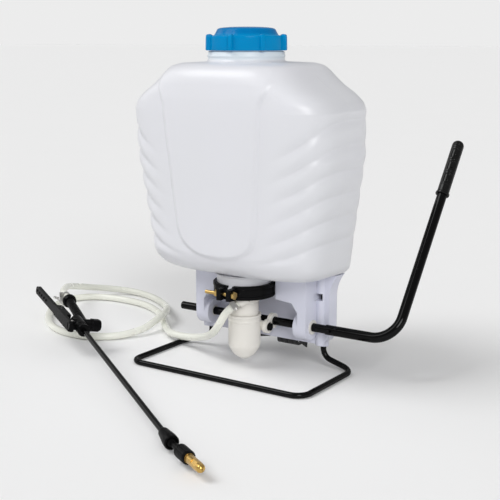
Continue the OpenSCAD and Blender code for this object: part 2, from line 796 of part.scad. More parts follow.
module shaft_bushes()
    color([0.90, 0.89, 0.86])
        both_sides() along_x(lobe_x - lobe_l, shaft_y, shaft_z) difference() {
            union() {
                cylinder(r = bush_r, h = lobe_l);
                translate([0, 0, lobe_l]) cylinder(r = bush_r + 3, h = 2);
            }
            translate([0, 0, -1]) cylinder(r = shaft_r + run, h = lobe_l + 5);
        }

module lever_run(r, start, end) {
    along_x(start, 0, 0) cylinder(r = r, h = lever_x - lever_bend - start);
    translate([lever_x - lever_bend, 0, lever_bend]) rotate([90, 0, 0]) rotate([0, 0, -90])
        rotate_extrude(angle = 90) translate([lever_bend, 0]) circle(r);
    translate([lever_x, 0, lever_bend]) cylinder(r = r, h = end - lever_bend);
}

module lever_frame() translate([0, shaft_y, shaft_z]) rotate([-lever_lean, 0, 0]) children();

module lever_tube()
    color([0.05, 0.05, 0.055]) lever_frame() difference() {
        lever_run(tube_r, lobe_x + 26, lever_l - 8);
        lever_run(shaft_r, lobe_x + 24, lever_l - 6);
        rotate([lever_lean, 0, 0]) translate([lobe_x + 34, -20, 0]) rotate([-90, 0, 0])
            cylinder(r = 2, h = 40);
    }

// spring pin through the lever tube and the shaft
module lever_pin()
    color([0.7, 0.71, 0.73])
        translate([lobe_x + 34, shaft_y - tube_r - 4, shaft_z]) rotate([-90, 0, 0]) {
            cylinder(r = 2, h = 2 * tube_r + 8);
            cylinder(r = 3.4, h = 2.4);
        }

module lever_grip() {
    r = tube_r + 1.4;
    n = 4;
    pitch = (grip_l - 36) / n;
    z0 = lever_l - grip_l;
    color([0.09, 0.09, 0.095]) lever_frame() translate([lever_x, 0, 0]) difference() {
        rotate_extrude() difference() {
            union() {
                translate([0, z0]) square([r, grip_l - r + 1]);
                translate([0, z0]) square([r + 1.6, 4]);
                translate([0, lever_l - r]) intersection() {
                    circle(r);
                    square(r);
                }
            }
            translate([-1, z0 - 1]) square([tube_r + 1, grip_l - 7]);
        }
        // finger hollows on the inner side
        for (k = [0 : n - 1]) translate([-r - 3.4, -20, z0 + 20 + k * pitch]) rotate([-90, 0, 0])
            cylinder(r = 4.6, h = 40);
    }
}

// hose and its clips

module hose() {
    path = through(hose_path, hose_steps);
    echo("hose length", sum_steps(path), "least gap between turns", least_gap(path) - hose_d);
    color([0.86, 0.87, 0.82]) sweep(path, round_section(hose_r, 10));
}

function sum_steps(p, i = 1) = i >= len(p) ? 0 : norm(p[i] - p[i - 1]) + sum_steps(p, i + 1);
function least_gap(p) =
    min([for (i = [0 : len(p) - 1]) for (j = [i + 8 : 1 : len(p) - 1]) norm(p[i] - p[j])]);

// worm-drive clip: band and screw housing, local +Z along the hose
module clip_at(at, dir, spin) {
    w = 9;
    r = hose_r + 1.2;
    color([0.76, 0.77, 0.78]) aim(at, dir) rotate([0, 0, spin]) difference() {
        union() {
            cylinder(r = r, h = w);
            translate([r - 2, -7, 0.5]) cube([7, 14, w - 1]);
            translate([r + 2.5, -10, w / 2]) rotate([-90, 0, 0]) cylinder(r = 3.4, h = 4);
        }
        translate([0, 0, -1]) cylinder(r = hose_r + 0.1, h = w + 2);
    }
}

module pump_hose_clip() clip_at(outlet + 12 * outlet_dir, outlet_dir, 110);

module handle_hose_clip() {
    at = in_lance(grip_at + (hand_l + 24) * grip_dir);
    clip_at(at, at - in_lance(grip_at), 90);
}

// trigger handle, drawn in the lance frame

body_r = 10.5;
stem_r = 3;
cap_face = -20;
spigot_l = 13;

module handle() {
    ribs = 20;
    rib_p = (hand_l - 40) / ribs;
    front = hinge_x + 5;
    color([0.06, 0.06, 0.06]) lance_frame() difference() {
        union() {
            along_x(-26, 0, 0) cylinder(r = body_r, h = 26 + front);
            along_x(front - 1, 0, 0) cylinder(r = body_r - 3, h = spigot_l);
            translate([stem_x, 0, cap_face]) cylinder(r = 9.5, h = 32);
            translate([hinge_x - 5, -5, 0]) cube([10, 10, hinge_z + 4.6]);
            aim(grip_at, grip_dir) rotate_extrude() difference() {
                square([hand_r, hand_l + 4]);
                for (k = [0 : ribs - 1]) translate([hand_r - 0.9, 24 + k * rib_p]) square([2, rib_p * 0.4]);
            }
        }
        along_x(front - 4, 0, 0) cylinder(r = lance_r, h = 30);
        along_x(-20, 0, 0) cylinder(r = 2.5, h = 60);
        translate([stem_x, 0, cap_face - 1]) cylinder(r = 7, h = 18);
        translate([stem_x, 0, -20]) cylinder(r = stem_r + run, h = 60);
        translate([hinge_x, -20, hinge_z]) rotate([-90, 0, 0]) cylinder(r = 2, h = 40);
        aim(grip_at + (hand_l + 6) * grip_dir, -grip_dir) cylinder(r = 4, h = hand_l - 20);
    }
}

// flared stop and hose tail at the end of the grip
module handle_collar()
    color([0.07, 0.07, 0.07]) lance_frame() aim(grip_at + (hand_l - 8) * grip_dir, grip_dir)
        rotate_extrude() polygon([[hand_r, 0], [hand_r + 2, 0], [hand_r + 4.4, 4], [hand_r + 4.4, 9],
            [hand_r + 2.5, 13], [hose_r + 0.8, 16], [3.2, 16], [3.2, 12], [hand_r, 12]]);

trigger_w = 14;
block_from = -34;
block_to = -88;
block_low = -8.5;
lock_x = block_to + 8;
lock_y = trigger_w / 2 + 6;

module trigger_frame() translate([hinge_x, 0, hinge_z]) rotate([0, trigger_lift, 0]) children();

module trigger() {
    cheek = 3.6;
    yoke = 2 * (5 + gap) + 2 * cheek;
    far = trigger_l - trigger_w / 2;
    color([0.06, 0.06, 0.06]) lance_frame() trigger_frame() difference() {
        union() {
            rotate([90, 0, 0]) translate([0, 0, -yoke / 2]) cylinder(r = 5, h = yoke);
            translate([block_to, -yoke / 2, 0]) cube([-block_to, yoke, 5]);
            translate([block_to, -yoke / 2, block_low]) cube([block_from - block_to, yoke, 5 - block_low]);
            translate([-far, -trigger_w / 2, -1.5]) cube([far + block_to + 4, trigger_w, 6.5]);
            translate([-far, 0, -1.5]) cylinder(r = trigger_w / 2, h = 6.5);
            for (k = [0 : 4]) translate([-far + 2 + 15 * k, 0, 4.6]) cylinder(r1 = 3.4, r2 = 1.6, h = 2);
        }
        translate([-6, -5 - gap, -20]) cube([40, 10 + 2 * gap, 40]);
        translate([block_to + 4, -yoke / 2 + 3, block_low - 1])
            cube([block_from - block_to - 8, yoke - 6, 2 - block_low]);
        rotate([90, 0, 0]) translate([0, 0, -20]) cylinder(r = 2 + run, h = 40);
        translate([lock_x, 20, block_low + 3]) rotate([90, 0, 0]) cylinder(r = 1.1 + run, h = 40);
    }
}

module trigger_pin()
    color([0.72, 0.73, 0.75]) lance_frame() translate([hinge_x, -10, hinge_z]) rotate([-90, 0, 0])
        cylinder(r = 2, h = 20);

// wire latch on the trigger's side: a cross pin, one leg and an eye
module trigger_lock() {
    wire = 1.1;
    b = 3;
    leg = 36;
    eye = 4;
    color([0.78, 0.79, 0.80]) lance_frame() trigger_frame() translate([lock_x, 0, block_low + 3]) {
        translate([0, -lock_y, 0]) rotate([-90, 0, 0]) cylinder(r = wire, h = 2 * lock_y - b);
        translate([-b, lock_y - b, 0]) rotate_extrude(angle = 90) translate([b, 0]) circle(wire);
        along_x(-leg, lock_y, 0) cylinder(r = wire, h = leg - b);
        translate([-leg - eye + 0.4, lock_y, 0]) rotate([90, 0, 0])
            rotate_extrude() translate([eye, 0]) circle(wire);
    }
}

stem_top = hinge_z + (hinge_x - stem_x) * sin(trigger_lift);

module valve_stem()
    color([0.72, 0.58, 0.28]) lance_frame() translate([stem_x, 0, -8]) union() {
        cylinder(r = stem_r, h = stem_top + 8 - 0.3);
        cylinder(r = 5.5, h = 3);
    }

module valve_spring() {
    turns = 5;
    wire = 0.6;
    r = 4.3;
    z0 = cap_face - 7;
    h = -8 - z0 - wire * 2;
    n = turns * 8;
    path = [for (k = [0 : n]) [stem_x + r * cos(45 * k), r * sin(45 * k), z0 + wire + h * k / n]];
    echo("spring gap", h / turns - 2 * wire);
    color([0.75, 0.76, 0.78]) lance_frame() sweep(path, round_section(wire, 6));
}

module valve_cap()
    color([0.07, 0.07, 0.07]) lance_frame() translate([stem_x, 0, cap_face]) difference() {
        union() {
            translate([0, 0, -13]) cylinder(r = 11, h = 13);
            translate([0, 0, -17]) cylinder(r1 = 8.5, r2 = 11, h = 4.1);
            cylinder(r = 7, h = 5);
        }
        for (k = [0 : 5]) rotate([0, 0, 60 * k + 30]) translate([9.8, -20, -20]) cube([10, 40, 17]);
        translate([0, 0, -7]) cylinder(r = 5.6, h = 20);
    }

module ribbed(r, l, n, d) {
    difference() {
        cylinder(r = r, h = l);
        for (k = [0 : n - 1]) rotate([0, 0, 360 * k / n]) translate([r + 0.6, 0, 3]) cylinder(r = d, h = l);
    }
}

nut_x = hinge_x + 5.5;
lance_nut_l = 15;
lance_x = hinge_x + 1;

module lance_nut()
    color([0.06, 0.06, 0.06]) lance_frame() along_x(nut_x, 0, 0) difference() {
        union() {
            ribbed(body_r - 0.5, lance_nut_l - 3, 16, 1.2);
            translate([0, 0, lance_nut_l - 4]) cylinder(r = body_r, h = 4);
        }
        translate([0, 0, -1]) cylinder(r = body_r - 3, h = spigot_l + 1.1);
        translate([0, 0, -1]) cylinder(r = lance_r + run, h = 40);
    }

module lance_seal()
    color([0.1, 0.1, 0.1]) lance_frame() along_x(hinge_x + 4 + spigot_l, 0, 0)
        ring(body_r - 3.2, lance_r + run, 1.6);

module lance_tube()
    color([0.05, 0.05, 0.05]) lance_frame() along_x(lance_x + 0.2, 0, 0)
        ring(lance_r, lance_r - 1.2, lance_l - lance_x - 14);

// flared end of the lance, open at the front
module lance_collar()
    color([0.07, 0.07, 0.07]) lance_frame() along_x(lance_l - collar_l, 0, 0) difference() {
        rotate_extrude() polygon([[lance_r, 0], [6.6, 0], [7.4, 2.5], [10, collar_l - 12],
            [10.3, collar_l - 9], [10.3, collar_l - 1.5], [9.4, collar_l], [8, collar_l],
            [7.4, collar_l - 9], [lance_r, collar_l - 12]]);
        for (k = [0 : 7]) rotate([0, 0, 45 * k]) translate([10.6, 0, 6])
            cylinder(r = 1.5, h = collar_l - 20);
    }

// nozzle: bent neck, knurled nut and brass cone tip

neck_l = 44;
nut_at = 28;
nut_l = 33;
nut_r = 9.4;
seat_r = 6.6;
tip_r = seat_r - 0.3;
tip_at = nut_at + nut_l - 10;

// ball-ended neck, seated in the collar at the nozzle's own angle
module nozzle_neck()
    color([0.06, 0.06, 0.06]) nozzle_frame() difference() {
        union() {
            translate([-4, 0, 0]) sphere(7);
            along_x(-4, 0, 0) cylinder(r = lance_r, h = neck_l + 4);
            along_x(neck_l - 8, 0, 0) cylinder(r = seat_r, h = 8);
        }
        along_x(-12, 0, 0) cylinder(r = 2, h = neck_l + 13);
    }

module nozzle_nut()
    color([0.07, 0.07, 0.07]) nozzle_frame() along_x(nut_at, 0, 0) difference() {
        union() {
            translate([0, 0, 3]) ribbed(nut_r, nut_l - 6, 20, 1.1);
            cylinder(r1 = nut_r - 1.6, r2 = nut_r - 0.3, h = 3.2);
            translate([0, 0, nut_l - 3.2]) cylinder(r1 = nut_r - 0.3, r2 = nut_r - 1.2, h = 3.2);
        }
        translate([0, 0, -1]) cylinder(r = lance_r, h = nut_l);
        translate([0, 0, neck_l - nut_at - 8]) cylinder(r = seat_r, h = nut_l);
    }

module nozzle_tip()
    color([0.80, 0.60, 0.22]) nozzle_frame() along_x(tip_at, 0, 0) difference() {
        union() {
            cylinder(r = seat_r - run, h = nut_at + nut_l - tip_at);
            cylinder(r = tip_r, h = 40);
            translate([0, 0, 40]) cylinder(r1 = tip_r, r2 = 5.8, h = 6);
            translate([0, 0, 46]) intersection() {
                sphere(5.8);
                translate([-10, -10, 0]) cube(20);
            }
        }
        for (a = [0, 180]) rotate([0, 0, a + 45]) translate([5.4, -10, 28]) cube([10, 20, 14]);
        translate([0, 0, -1]) cylinder(r = 3.4, h = 38);
        cylinder(r = 0.7, h = 60);
    }

module swirl_core()
    color([0.80, 0.62, 0.28]) nozzle_frame() along_x(neck_l, 0, 0) union() {
        cylinder(r = 3.4 - run, h = tip_at + 32 - neck_l);
        cylinder(r = seat_r - 0.3, h = 2);
    }

// carrying straps

anchor_z = tank_top - 60;
anchor_y = tank_back - 0.2;
slot_y = anchor_y + 6.6;

// side view of a strap, [y, z]: up through its anchor, over the shoulder, down to the adjuster
strap_route = [
    [slot_y, anchor_z - 24], [slot_y, anchor_z - 6], [slot_y + 1, anchor_z + 12],
    [slot_y + 14, anchor_z + 27], [slot_y + 34, anchor_z + 22], [slot_y + 54, anchor_z - 8],
    [slot_y + 68, anchor_z - 60], [slot_y + 74, anchor_z - 120], [slot_y + 70, anchor_z - 180],
    [slot_y + 54, anchor_z - 240], [slot_y + 30, anchor_z - 290], [panel_back + 42, panel_z + 48],
    [panel_back + 28, panel_z + 35], [panel_back + 17, panel_z + 24], [panel_back + 6, panel_z + 13]];
adjuster = strap_route[13];
end_turn = 39;
pad_from = 14;
pad_to = 27;

function strap_path(s) = through([for (p = strap_route) [s * strap_x, p[0], p[1]]], 3);

module strap(s) {
    h = web_t / 2;
    w = web_w / 2;
    color([0.07, 0.07, 0.075]) {
        sweep(strap_path(s), [[-w, -h], [-w, h], [w, h], [w, -h]], [1, 0, 0]);
        strap_loop(s);
        strap_end(s);
    }
}

// lower end of the webbing, into the pocket and out below the panel's edge
module strap_loop(s) {
    z = panel_z + 13;
    t = web_t;
    drop = 10;
    front = pocket_y + 1;
    translate([s * strap_x - web_w / 2, front, 0]) {
        translate([0, 0, z - t / 2]) cube([web_w, panel_back + 7 - front, t]);
        translate([0, 0, panel_z - drop]) cube([web_w, t, z - panel_z + drop]);
        translate([0, 0, panel_z - drop - t]) cube([web_w, panel_t * 0.6, t]);
    }
}

// loose end that hangs from the adjuster and turns edge-on
module strap_end(s) {
    y = adjuster[0] + 16.5;
    top = adjuster[1] + 16;
    low = panel_z - 24;
    rings = 8;
    w = web_w / 2;
    h = web_t / 2;
    pts = [for (i = [0 : rings])
        let (z = mix(top, low, i / rings), a = -s * end_turn * ease((top - 20 - z) / 24))
        for (q = [[-w, -h], [-w, h], [w, h], [w, -h]])
        [s * strap_x + q.x * cos(a) - q.y * sin(a), y + q.x * sin(a) + q.y * cos(a), z]];
    polyhedron(points = pts, faces = skin_faces(rings + 1, 4), convexity = 4);
}

// padded length of the strap: a crowned section that narrows to both ends
module pad(s) {
    path = strap_path(s);
    part = [for (i = [pad_from : pad_to]) path[i]];
    n = 16;
    m = len(part);
    pts = [for (i = [0 : m - 1])
        let (t = tangent(part, i), u = cross([1, 0, 0], t))
        let (f = pow(max(0.05, sin(180 * (i + 0.35) / (m - 0.3))), 0.4))
        for (j = [0 : n - 1])
        let (a = -360 * j / n)
        part[i] + [pad_w / 2 * f * spow(cos(a), 0.6), 0, 0]
            - u * (web_t / 2 + 0.2 + pad_t / 2 * f * (1 + spow(sin(a), 0.7)))];
    color([0.10, 0.10, 0.11]) polyhedron(points = pts, faces = skin_faces(m, n), convexity = 6);
}

// moulded loops on the tank's back that take the upper ends
module strap_anchors()
    color([0.08, 0.08, 0.08])
        both_sides() translate([strap_x, anchor_y, anchor_z]) difference() {
            translate([-web_w / 2 - 6, -0.8, -12]) cube([web_w + 12, 12.8, 20]);
            translate([-web_w / 2 - 1, 5, -20]) cube([web_w + 2, 3.2, 40]);
        }

module strap_adjusters()
    color([0.08, 0.08, 0.08])
        both_sides() translate([strap_x, adjuster[0], adjuster[1]]) rotate([-46, 0, 0]) difference() {
            translate([-web_w / 2 - 4, -4, -15]) cube([web_w + 8, 8, 30]);
            translate([-web_w / 2 - 1, -1.6, -20]) cube([web_w + 2, 3.2, 40]);
            for (z = [-9, 3]) translate([-web_w / 2 - 1, -8, z]) cube([web_w + 2, 16, 6]);
        }
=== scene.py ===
"""Backpack sprayer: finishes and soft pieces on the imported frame, in metres, +Z up."""
import math

import bmesh
import bpy
import numpy as np
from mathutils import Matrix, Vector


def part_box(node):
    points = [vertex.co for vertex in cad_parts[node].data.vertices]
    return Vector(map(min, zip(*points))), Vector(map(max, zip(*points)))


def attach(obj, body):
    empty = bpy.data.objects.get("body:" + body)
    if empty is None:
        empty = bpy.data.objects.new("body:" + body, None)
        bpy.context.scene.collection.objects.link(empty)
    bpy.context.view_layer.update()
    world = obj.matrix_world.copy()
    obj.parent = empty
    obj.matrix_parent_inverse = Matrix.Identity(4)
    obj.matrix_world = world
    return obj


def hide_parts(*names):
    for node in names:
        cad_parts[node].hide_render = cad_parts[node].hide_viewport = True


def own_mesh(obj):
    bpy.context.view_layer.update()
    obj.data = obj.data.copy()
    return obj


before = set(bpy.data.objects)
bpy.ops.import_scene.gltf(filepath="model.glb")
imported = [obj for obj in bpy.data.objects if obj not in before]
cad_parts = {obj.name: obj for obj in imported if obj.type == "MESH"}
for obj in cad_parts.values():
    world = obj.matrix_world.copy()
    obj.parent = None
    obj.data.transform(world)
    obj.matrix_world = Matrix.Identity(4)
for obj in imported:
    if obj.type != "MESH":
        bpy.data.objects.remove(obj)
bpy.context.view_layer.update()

MM = 0.001
cap_low, cap_high = (np.array(corner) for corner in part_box("filler_cap"))
# the tank's axis on the floor
AXIS = np.array([(cap_low[0] + cap_high[0]) / 2, (cap_low[1] + cap_high[1]) / 2, 0.0])


# Surfaces

def surface(name, grid, wrap_rows=False, wrap_cols=True, close_ends=False, sharp=40):
    """A mesh over a grid of points (rows, columns, 3): one face between each four neighbours."""
    rows, cols = grid.shape[:2]
    i, j = np.meshgrid(np.arange(rows - (not wrap_rows)), np.arange(cols - (not wrap_cols)), indexing="ij")
    i2, j2 = (i + 1) % rows, (j + 1) % cols
    faces = np.stack([i * cols + j, i * cols + j2, i2 * cols + j2, i2 * cols + j], -1).reshape(-1, 4)
    corners = np.stack([np.stack([i, j], -1), np.stack([i, j + 1], -1),
                        np.stack([i + 1, j + 1], -1), np.stack([i + 1, j], -1)], 2).reshape(-1, 2)
    polygons = faces.tolist()
    if close_ends:
        polygons += [list(range(cols)), list(range((rows - 1) * cols, rows * cols))]
    mesh = bpy.data.meshes.new(name)
    mesh.from_pydata(grid.reshape(-1, 3).tolist(), [], polygons)
    uv = np.zeros((len(mesh.loops), 2))
    uv[:len(corners)] = corners / [rows - (not wrap_rows), cols - (not wrap_cols)]
    mesh.uv_layers.new(name="along_round").data.foreach_set("uv", uv.ravel())
    outward(mesh)
    mesh.shade_smooth()
    mesh.set_sharp_from_angle(angle=math.radians(sharp))
    piece = bpy.data.objects.new(name, mesh)
    bpy.context.collection.objects.link(piece)
    return piece


def outward(mesh):
    """Turns every face of a closed mesh outwards."""
    shell = bmesh.new()
    shell.from_mesh(mesh)
    bmesh.ops.recalc_face_normals(shell, faces=shell.faces)
    shell.to_mesh(mesh)
    shell.free()


def curve_through(points, steps):
    """A smooth line through points: between each two a cubic, whose slope at a point is half the chord of
    its neighbours."""
    p = np.asarray(points, float)
    padded = np.vstack([p[:1], p, p[-1:]])
    a, b, c, d = padded[:-3, None], padded[1:-2, None], padded[2:-1, None], padded[3:, None]
    t = np.linspace(0, 1, steps, endpoint=False)[None, :, None]
    line = 0.5 * (2 * b + (c - a) * t + (2 * a - 5 * b + 4 * c - d) * t**2 + (3 * b - a - 3 * c + d) * t**3)
    return np.vstack([line.reshape(-1, p.shape[1]), p[-1:]])


def unit(v):
    """Vectors divided by their own lengths."""
    return v / np.linalg.norm(v, axis=-1, keepdims=True)


def along(path, section, side=None):
    """A section (points of side, up) carried along a path. Its side direction is side, made square to the
    path, or level if none is given."""
    tangent = unit(np.gradient(path, axis=0))
    cross = np.cross(tangent, [0, 0, 1]) if side is None else side - (tangent @ side)[:, None] * tangent
    right = unit(cross)
    up = np.cross(right, tangent)
    section = np.asarray(section, float)
    return path[:, None] + section[..., :1] * right[:, None] + section[..., 1:] * up[:, None]


def circle(radius, sides):
    """Points round a circle, evenly spaced."""
    a = np.linspace(0, 2 * np.pi, sides, endpoint=False)
    return radius * np.stack([np.cos(a), np.sin(a)], -1)


def length_of(path):
    """The sum of the steps between the points of a path."""
    return float(np.linalg.norm(np.diff(path, axis=0), axis=1).sum())


def ease(t):
    """0 to 1, level at both ends."""
    u = np.clip(t, 0, 1)
    return u * u * (3 - 2 * u)


def signed_power(v, p):
    """The power of a number's size, with its sign kept."""
    return np.sign(v) * np.abs(v) ** p


def soft_ramp(v, blur):
    """0 below zero and v above it, with a round bend about blur wide."""
    return (v + np.sqrt(v * v + blur * blur)) / 2


# Shader sums

class Value:
    """A shader output in Python sums: each operator adds one Math node."""

    def __init__(self, finish, socket):
        self.finish = finish
        self.socket = socket

    def math(self, operation, *terms):
        return self.finish.node("ShaderNodeMath", {"operation": operation}, dict(enumerate(terms)))

    def __add__(self, other):
        return self.math("ADD", self, other)

    __radd__ = __add__

    def __sub__(self, other):
        return self.math("SUBTRACT", self, other)

    def __rsub__(self, other):
        return self.math("SUBTRACT", other, self)

    def __mul__(self, other):
        return self.math("MULTIPLY", self, other)

    __rmul__ = __mul__

    def __abs__(self):
        return self.math("ABSOLUTE", self)

    def sine(self):
        return self.math("SINE", self)

    def over(self, low, high):
        """0 below low, 1 above high, smooth between."""
        return self.finish.node("ShaderNodeMapRange", {"interpolation_type": "SMOOTHSTEP"},
                                {"Value": self, "From Min": low, "From Max": high})


class Finish:
    """One material: a Principled shader with constants, and a method that adds any other node."""

    def __init__(self, name, colour, roughness, **constants):
        self.material = bpy.data.materials.new(name)
        self.material.use_nodes = True
        self.tree = self.material.node_tree
        self.shader = self.tree.nodes["Principled BSDF"]
        self.colour = (*colour, 1)
        self.shader.inputs["Base Color"].default_value = self.colour
        self.shader.inputs["Roughness"].default_value = roughness
        for socket, value in constants.items():
            self.shader.inputs[socket.replace("_", " ")].default_value = value
        self.place = self.node("ShaderNodeTexCoord", {"out": "Object"}, {})

    def node(self, kind, settings, sockets):
        """Adds a node: settings first, then the value or link of each socket. The setting out picks the
        output."""
        made = self.tree.nodes.new(kind)
        for setting, value in settings.items():
            if setting != "out":
                setattr(made, setting, value)
        for socket, value in sockets.items():
            self.join(made.inputs[socket], value)
        return Value(self, made.outputs[settings.get("out", 0)])

    def join(self, socket, value):
        """Links a value to a socket, or sets a plain number or colour there."""
        if isinstance(value, Value):
            self.tree.links.new(value.socket, socket)
        else:
            socket.default_value = value

    def feed(self, **sockets):
        """Joins values to the shader's own sockets, with _ for each space of a name."""
        for socket, value in sockets.items():
            self.join(self.shader.inputs[socket.replace("_", " ")], value)

    def noise(self, scale, detail):
        """Cloudy noise, scale waves to the metre."""
        return self.node("ShaderNodeTexNoise", {}, {"Vector": self.place, "Scale": scale, "Detail": detail})

    def blend(self, mask, low, high):
        """The colour low where the mask is 0, high where it is 1."""
        return self.node("ShaderNodeMix", {"data_type": "RGBA", "out": 2}, {0: mask, 6: low, 7: high})

    def shade(self, factor):
        """The base colour, times factor."""
        return tuple(c * factor for c in self.colour[:3]) + (1,)

    def axis(self, name):
        """One coordinate of the piece, in metres."""
        return self.node("ShaderNodeSeparateXYZ", {"out": name}, {0: self.place})

    def map(self, name):
        """The piece's own map: U along it, V round it, each from 0 to 1."""
        uv = self.node("ShaderNodeUVMap", {"uv_map": "along_round"}, {})
        return self.node("ShaderNodeSeparateXYZ", {"out": name}, {0: uv})

    def bump(self, height, distance, strength=1.0, edge=0.0):
        """Raises the surface by height times distance; edge rounds sharp edges by that radius."""
        sockets = {"Height": height, "Distance": distance, "Strength": strength}
        if edge:
            sockets["Normal"] = self.node("ShaderNodeBevel", {"samples": 6}, {"Radius": edge})
        self.feed(Normal=self.node("ShaderNodeBump", {}, sockets))


# Finishes

def moulded(name, colour, roughness, grain=1400, depth=0.00006, edge=0.0, vary=0.05, **constants):
    """Moulded plastic: fine mould grain, a slow drift of shade and a few rubbed, shinier patches."""
    f = Finish(name, colour, roughness, **constants)
    drift = f.noise(9, 2)
    rub = f.noise(38, 4).over(0.52, 0.75)
    f.feed(Base_Color=f.blend(drift, f.shade(1 - vary), f.shade(1 + vary)),
           Roughness=roughness + 0.06 * drift - 0.07 * rub)
    f.bump(f.noise(grain, 2), depth, edge=edge)
    return f.material


def painted_rod(name, colour, roughness):
    """Black paint on bent rod: slight orange peel, fine handling marks that are greyer and duller."""
    f = Finish(name, colour, roughness, Specular_IOR_Level=0.01, Coat_Weight=0.26, Coat_Roughness=0.05)
    marks = f.noise(160, 6).over(0.62, 0.72) * f.noise(14, 2).over(0.45, 0.65)
    f.feed(Base_Color=f.blend(marks, f.colour, (0.02, 0.02, 0.021, 1)),
           Roughness=roughness + 0.15 * marks + 0.03 * f.noise(30, 3))
    f.bump(f.noise(260, 2), 0.00001)
    return f.material


def bright_metal(name, colour, roughness, turned=None):
    """Plated or turned metal: fine turning marks across the axis turned, faint tarnish."""
    f = Finish(name, colour, roughness, Metallic=1.0)
    tarnish = f.noise(120, 5)
    f.feed(Base_Color=f.blend(tarnish, f.shade(0.72), f.shade(1.08)), Roughness=roughness + 0.16 * tarnish)
    if turned is None:
        f.bump(f.noise(900, 3), 0.00002, edge=0.0004)
        return f.material
    line = f.node("ShaderNodeVectorMath", {"operation": "DOT_PRODUCT", "out": "Value"},
                  {0: f.place, 1: turned})
    f.bump((line * 9000).sine(), 0.00001, edge=0.0003)
    return f.material


def tank_plastic():
    """Natural polyethylene: cool white, with a soft gloss, fine grain and a raised mould seam round the
    sides; the neck is painted bluer, as painted light that stands in for light showing through its thin wall
    under the cap."""
    f = Finish("tank_plastic", (0.72, 0.725, 0.75), 0.3, Coat_Weight=0.1, Coat_Roughness=0.3)
    drift = f.noise(5, 2)
    cloud = f.noise(26, 4)
    thick = f.blend(drift, (0.685, 0.695, 0.715, 1), (0.72, 0.72, 0.77, 1))
    # painted light: the neck's bluer tone stands in for light showing through its thin wall under the cap
    neck = f.axis("Z").over((TOP + 1) * MM, (TOP + 6) * MM)
    f.feed(Base_Color=f.blend(neck, thick, (0.70, 0.77, 0.82, 1)),
           Roughness=0.30 + 0.08 * cloud + 0.04 * drift)
    seam = 1 - abs(f.axis("Y") - (AXIS[1] + SEAM_Y * MM)).over(0.0006, 0.0014)
    grain = f.noise(420, 2) * 0.03 + f.noise(60, 2) * 0.10
    f.bump(grain + seam * 0.35, 0.0006, strength=0.7)
    return f.material


def cap_plastic():
    """Blue polypropylene: glossy, with a fine mould grain; the thin skirt is painted paler than the crown,
    as painted light that stands in for light showing through the translucent skirt.
    """
    f = Finish("cap_plastic", (0.0, 0.22, 0.50), 0.17, Specular_IOR_Level=0.07)
    # painted light: the skirt's paler blue stands in for light showing through the thin translucent plastic,
    # and the crown keeps the deeper blue
    crown = f.axis("Z").over(CROWN_FOOT * MM, (CROWN_FOOT + CROWN_EDGE) * MM)
    skirt = f.blend(f.noise(16, 3), (0.0, 0.205, 0.49, 1), (0.0, 0.255, 0.54, 1))
    f.feed(Base_Color=f.blend(crown, skirt, (0.0, 0.172, 0.43, 1)), Roughness=0.14 + 0.1 * f.noise(45, 4))
    f.bump(f.noise(900, 2), 0.00002)
    return f.material


def hose_vinyl():
    """Milky vinyl hose: soft gloss, a slow drift of tone and faint lengthwise die lines."""
    f = Finish("hose_vinyl", (0.88, 0.89, 0.80), 0.24, Transmission_Weight=0.1, IOR=1.42)
    drift = f.noise(7, 2)
    f.feed(Base_Color=f.blend(drift, (0.84, 0.85, 0.755, 1), (0.92, 0.925, 0.855, 1)),
           Roughness=0.2 + 0.12 * f.noise(30, 3))
    f.bump((f.map("Y") * 88).sine(), 0.000005)
    return f.material


YARN, WARP_YARNS = 0.0016, 64
CLOTH_YARN, CLOTH_ROUND = 0.0013, 130
STITCH, STITCH_LINE = 0.006, 0.40


def woven_webbing(length):
    """Woven strap: plain weave of crossing yarns with a little fuzz; the gaps between yarns are darker by
    painted shade and the crests lighter by painted light.
    """
    f = Finish("woven_webbing", (0.014, 0.014, 0.015), 0.7, Sheen_Weight=0.1, Sheen_Roughness=0.5)
    warp = abs((f.map("Y") * (math.pi * WARP_YARNS)).sine())
    weft = abs((f.map("X") * (math.pi * length / YARN)).sine())
    weave = warp * weft
    fuzz = f.noise(2200, 3)
    # painted shade in the gaps between yarns and painted light on their crests; the bump gives the weave's
    # real relief
    f.feed(Base_Color=f.blend(weave * 0.8 + fuzz * 0.2, f.shade(0.35), f.shade(1.9)),
           Roughness=0.62 + 0.2 * fuzz)
    f.bump(weave + fuzz * 0.3, 0.0004)
    return f.material


def padded_cloth(length):
    """Black pack cloth: fine weave, darker in its gaps by painted shade and lighter on its yarn crests by
    painted light, and a stitched line of grey thread inside each long edge.
    """
    f = Finish("padded_cloth", (0.020, 0.020, 0.022), 0.8, Sheen_Weight=0.15, Sheen_Roughness=0.6)
    round_pad = f.map("Y")
    run = f.map("X")
    warp = abs((round_pad * (math.pi * CLOTH_ROUND)).sine())
    weave = warp * abs((run * (math.pi * length / CLOTH_YARN)).sine())
    line = 1 - abs(abs(round_pad - 0.5) - STITCH_LINE).over(0.006, 0.010)
    dash = (run * (2 * math.pi * length / STITCH)).sine().over(-0.3, 0.1)
    thread = line * dash
    # painted shade in the gaps between yarns and painted light on their crests
    cloth = f.blend(weave, f.shade(0.5), f.shade(1.5))
    f.feed(Base_Color=f.blend(thread, cloth, (0.16, 0.16, 0.17, 1)), Roughness=0.85 - 0.15 * thread)
    f.bump(weave * 0.3 + thread * 1.2 + f.noise(1500, 2) * 0.3, 0.0005)
    return f.material


NOZZLE_TURN = math.radians(-31.5)
NOZZLE_AXIS = (math.cos(NOZZLE_TURN), math.sin(NOZZLE_TURN), 0.035)
BLACK = (0.004, 0.004, 0.0043)

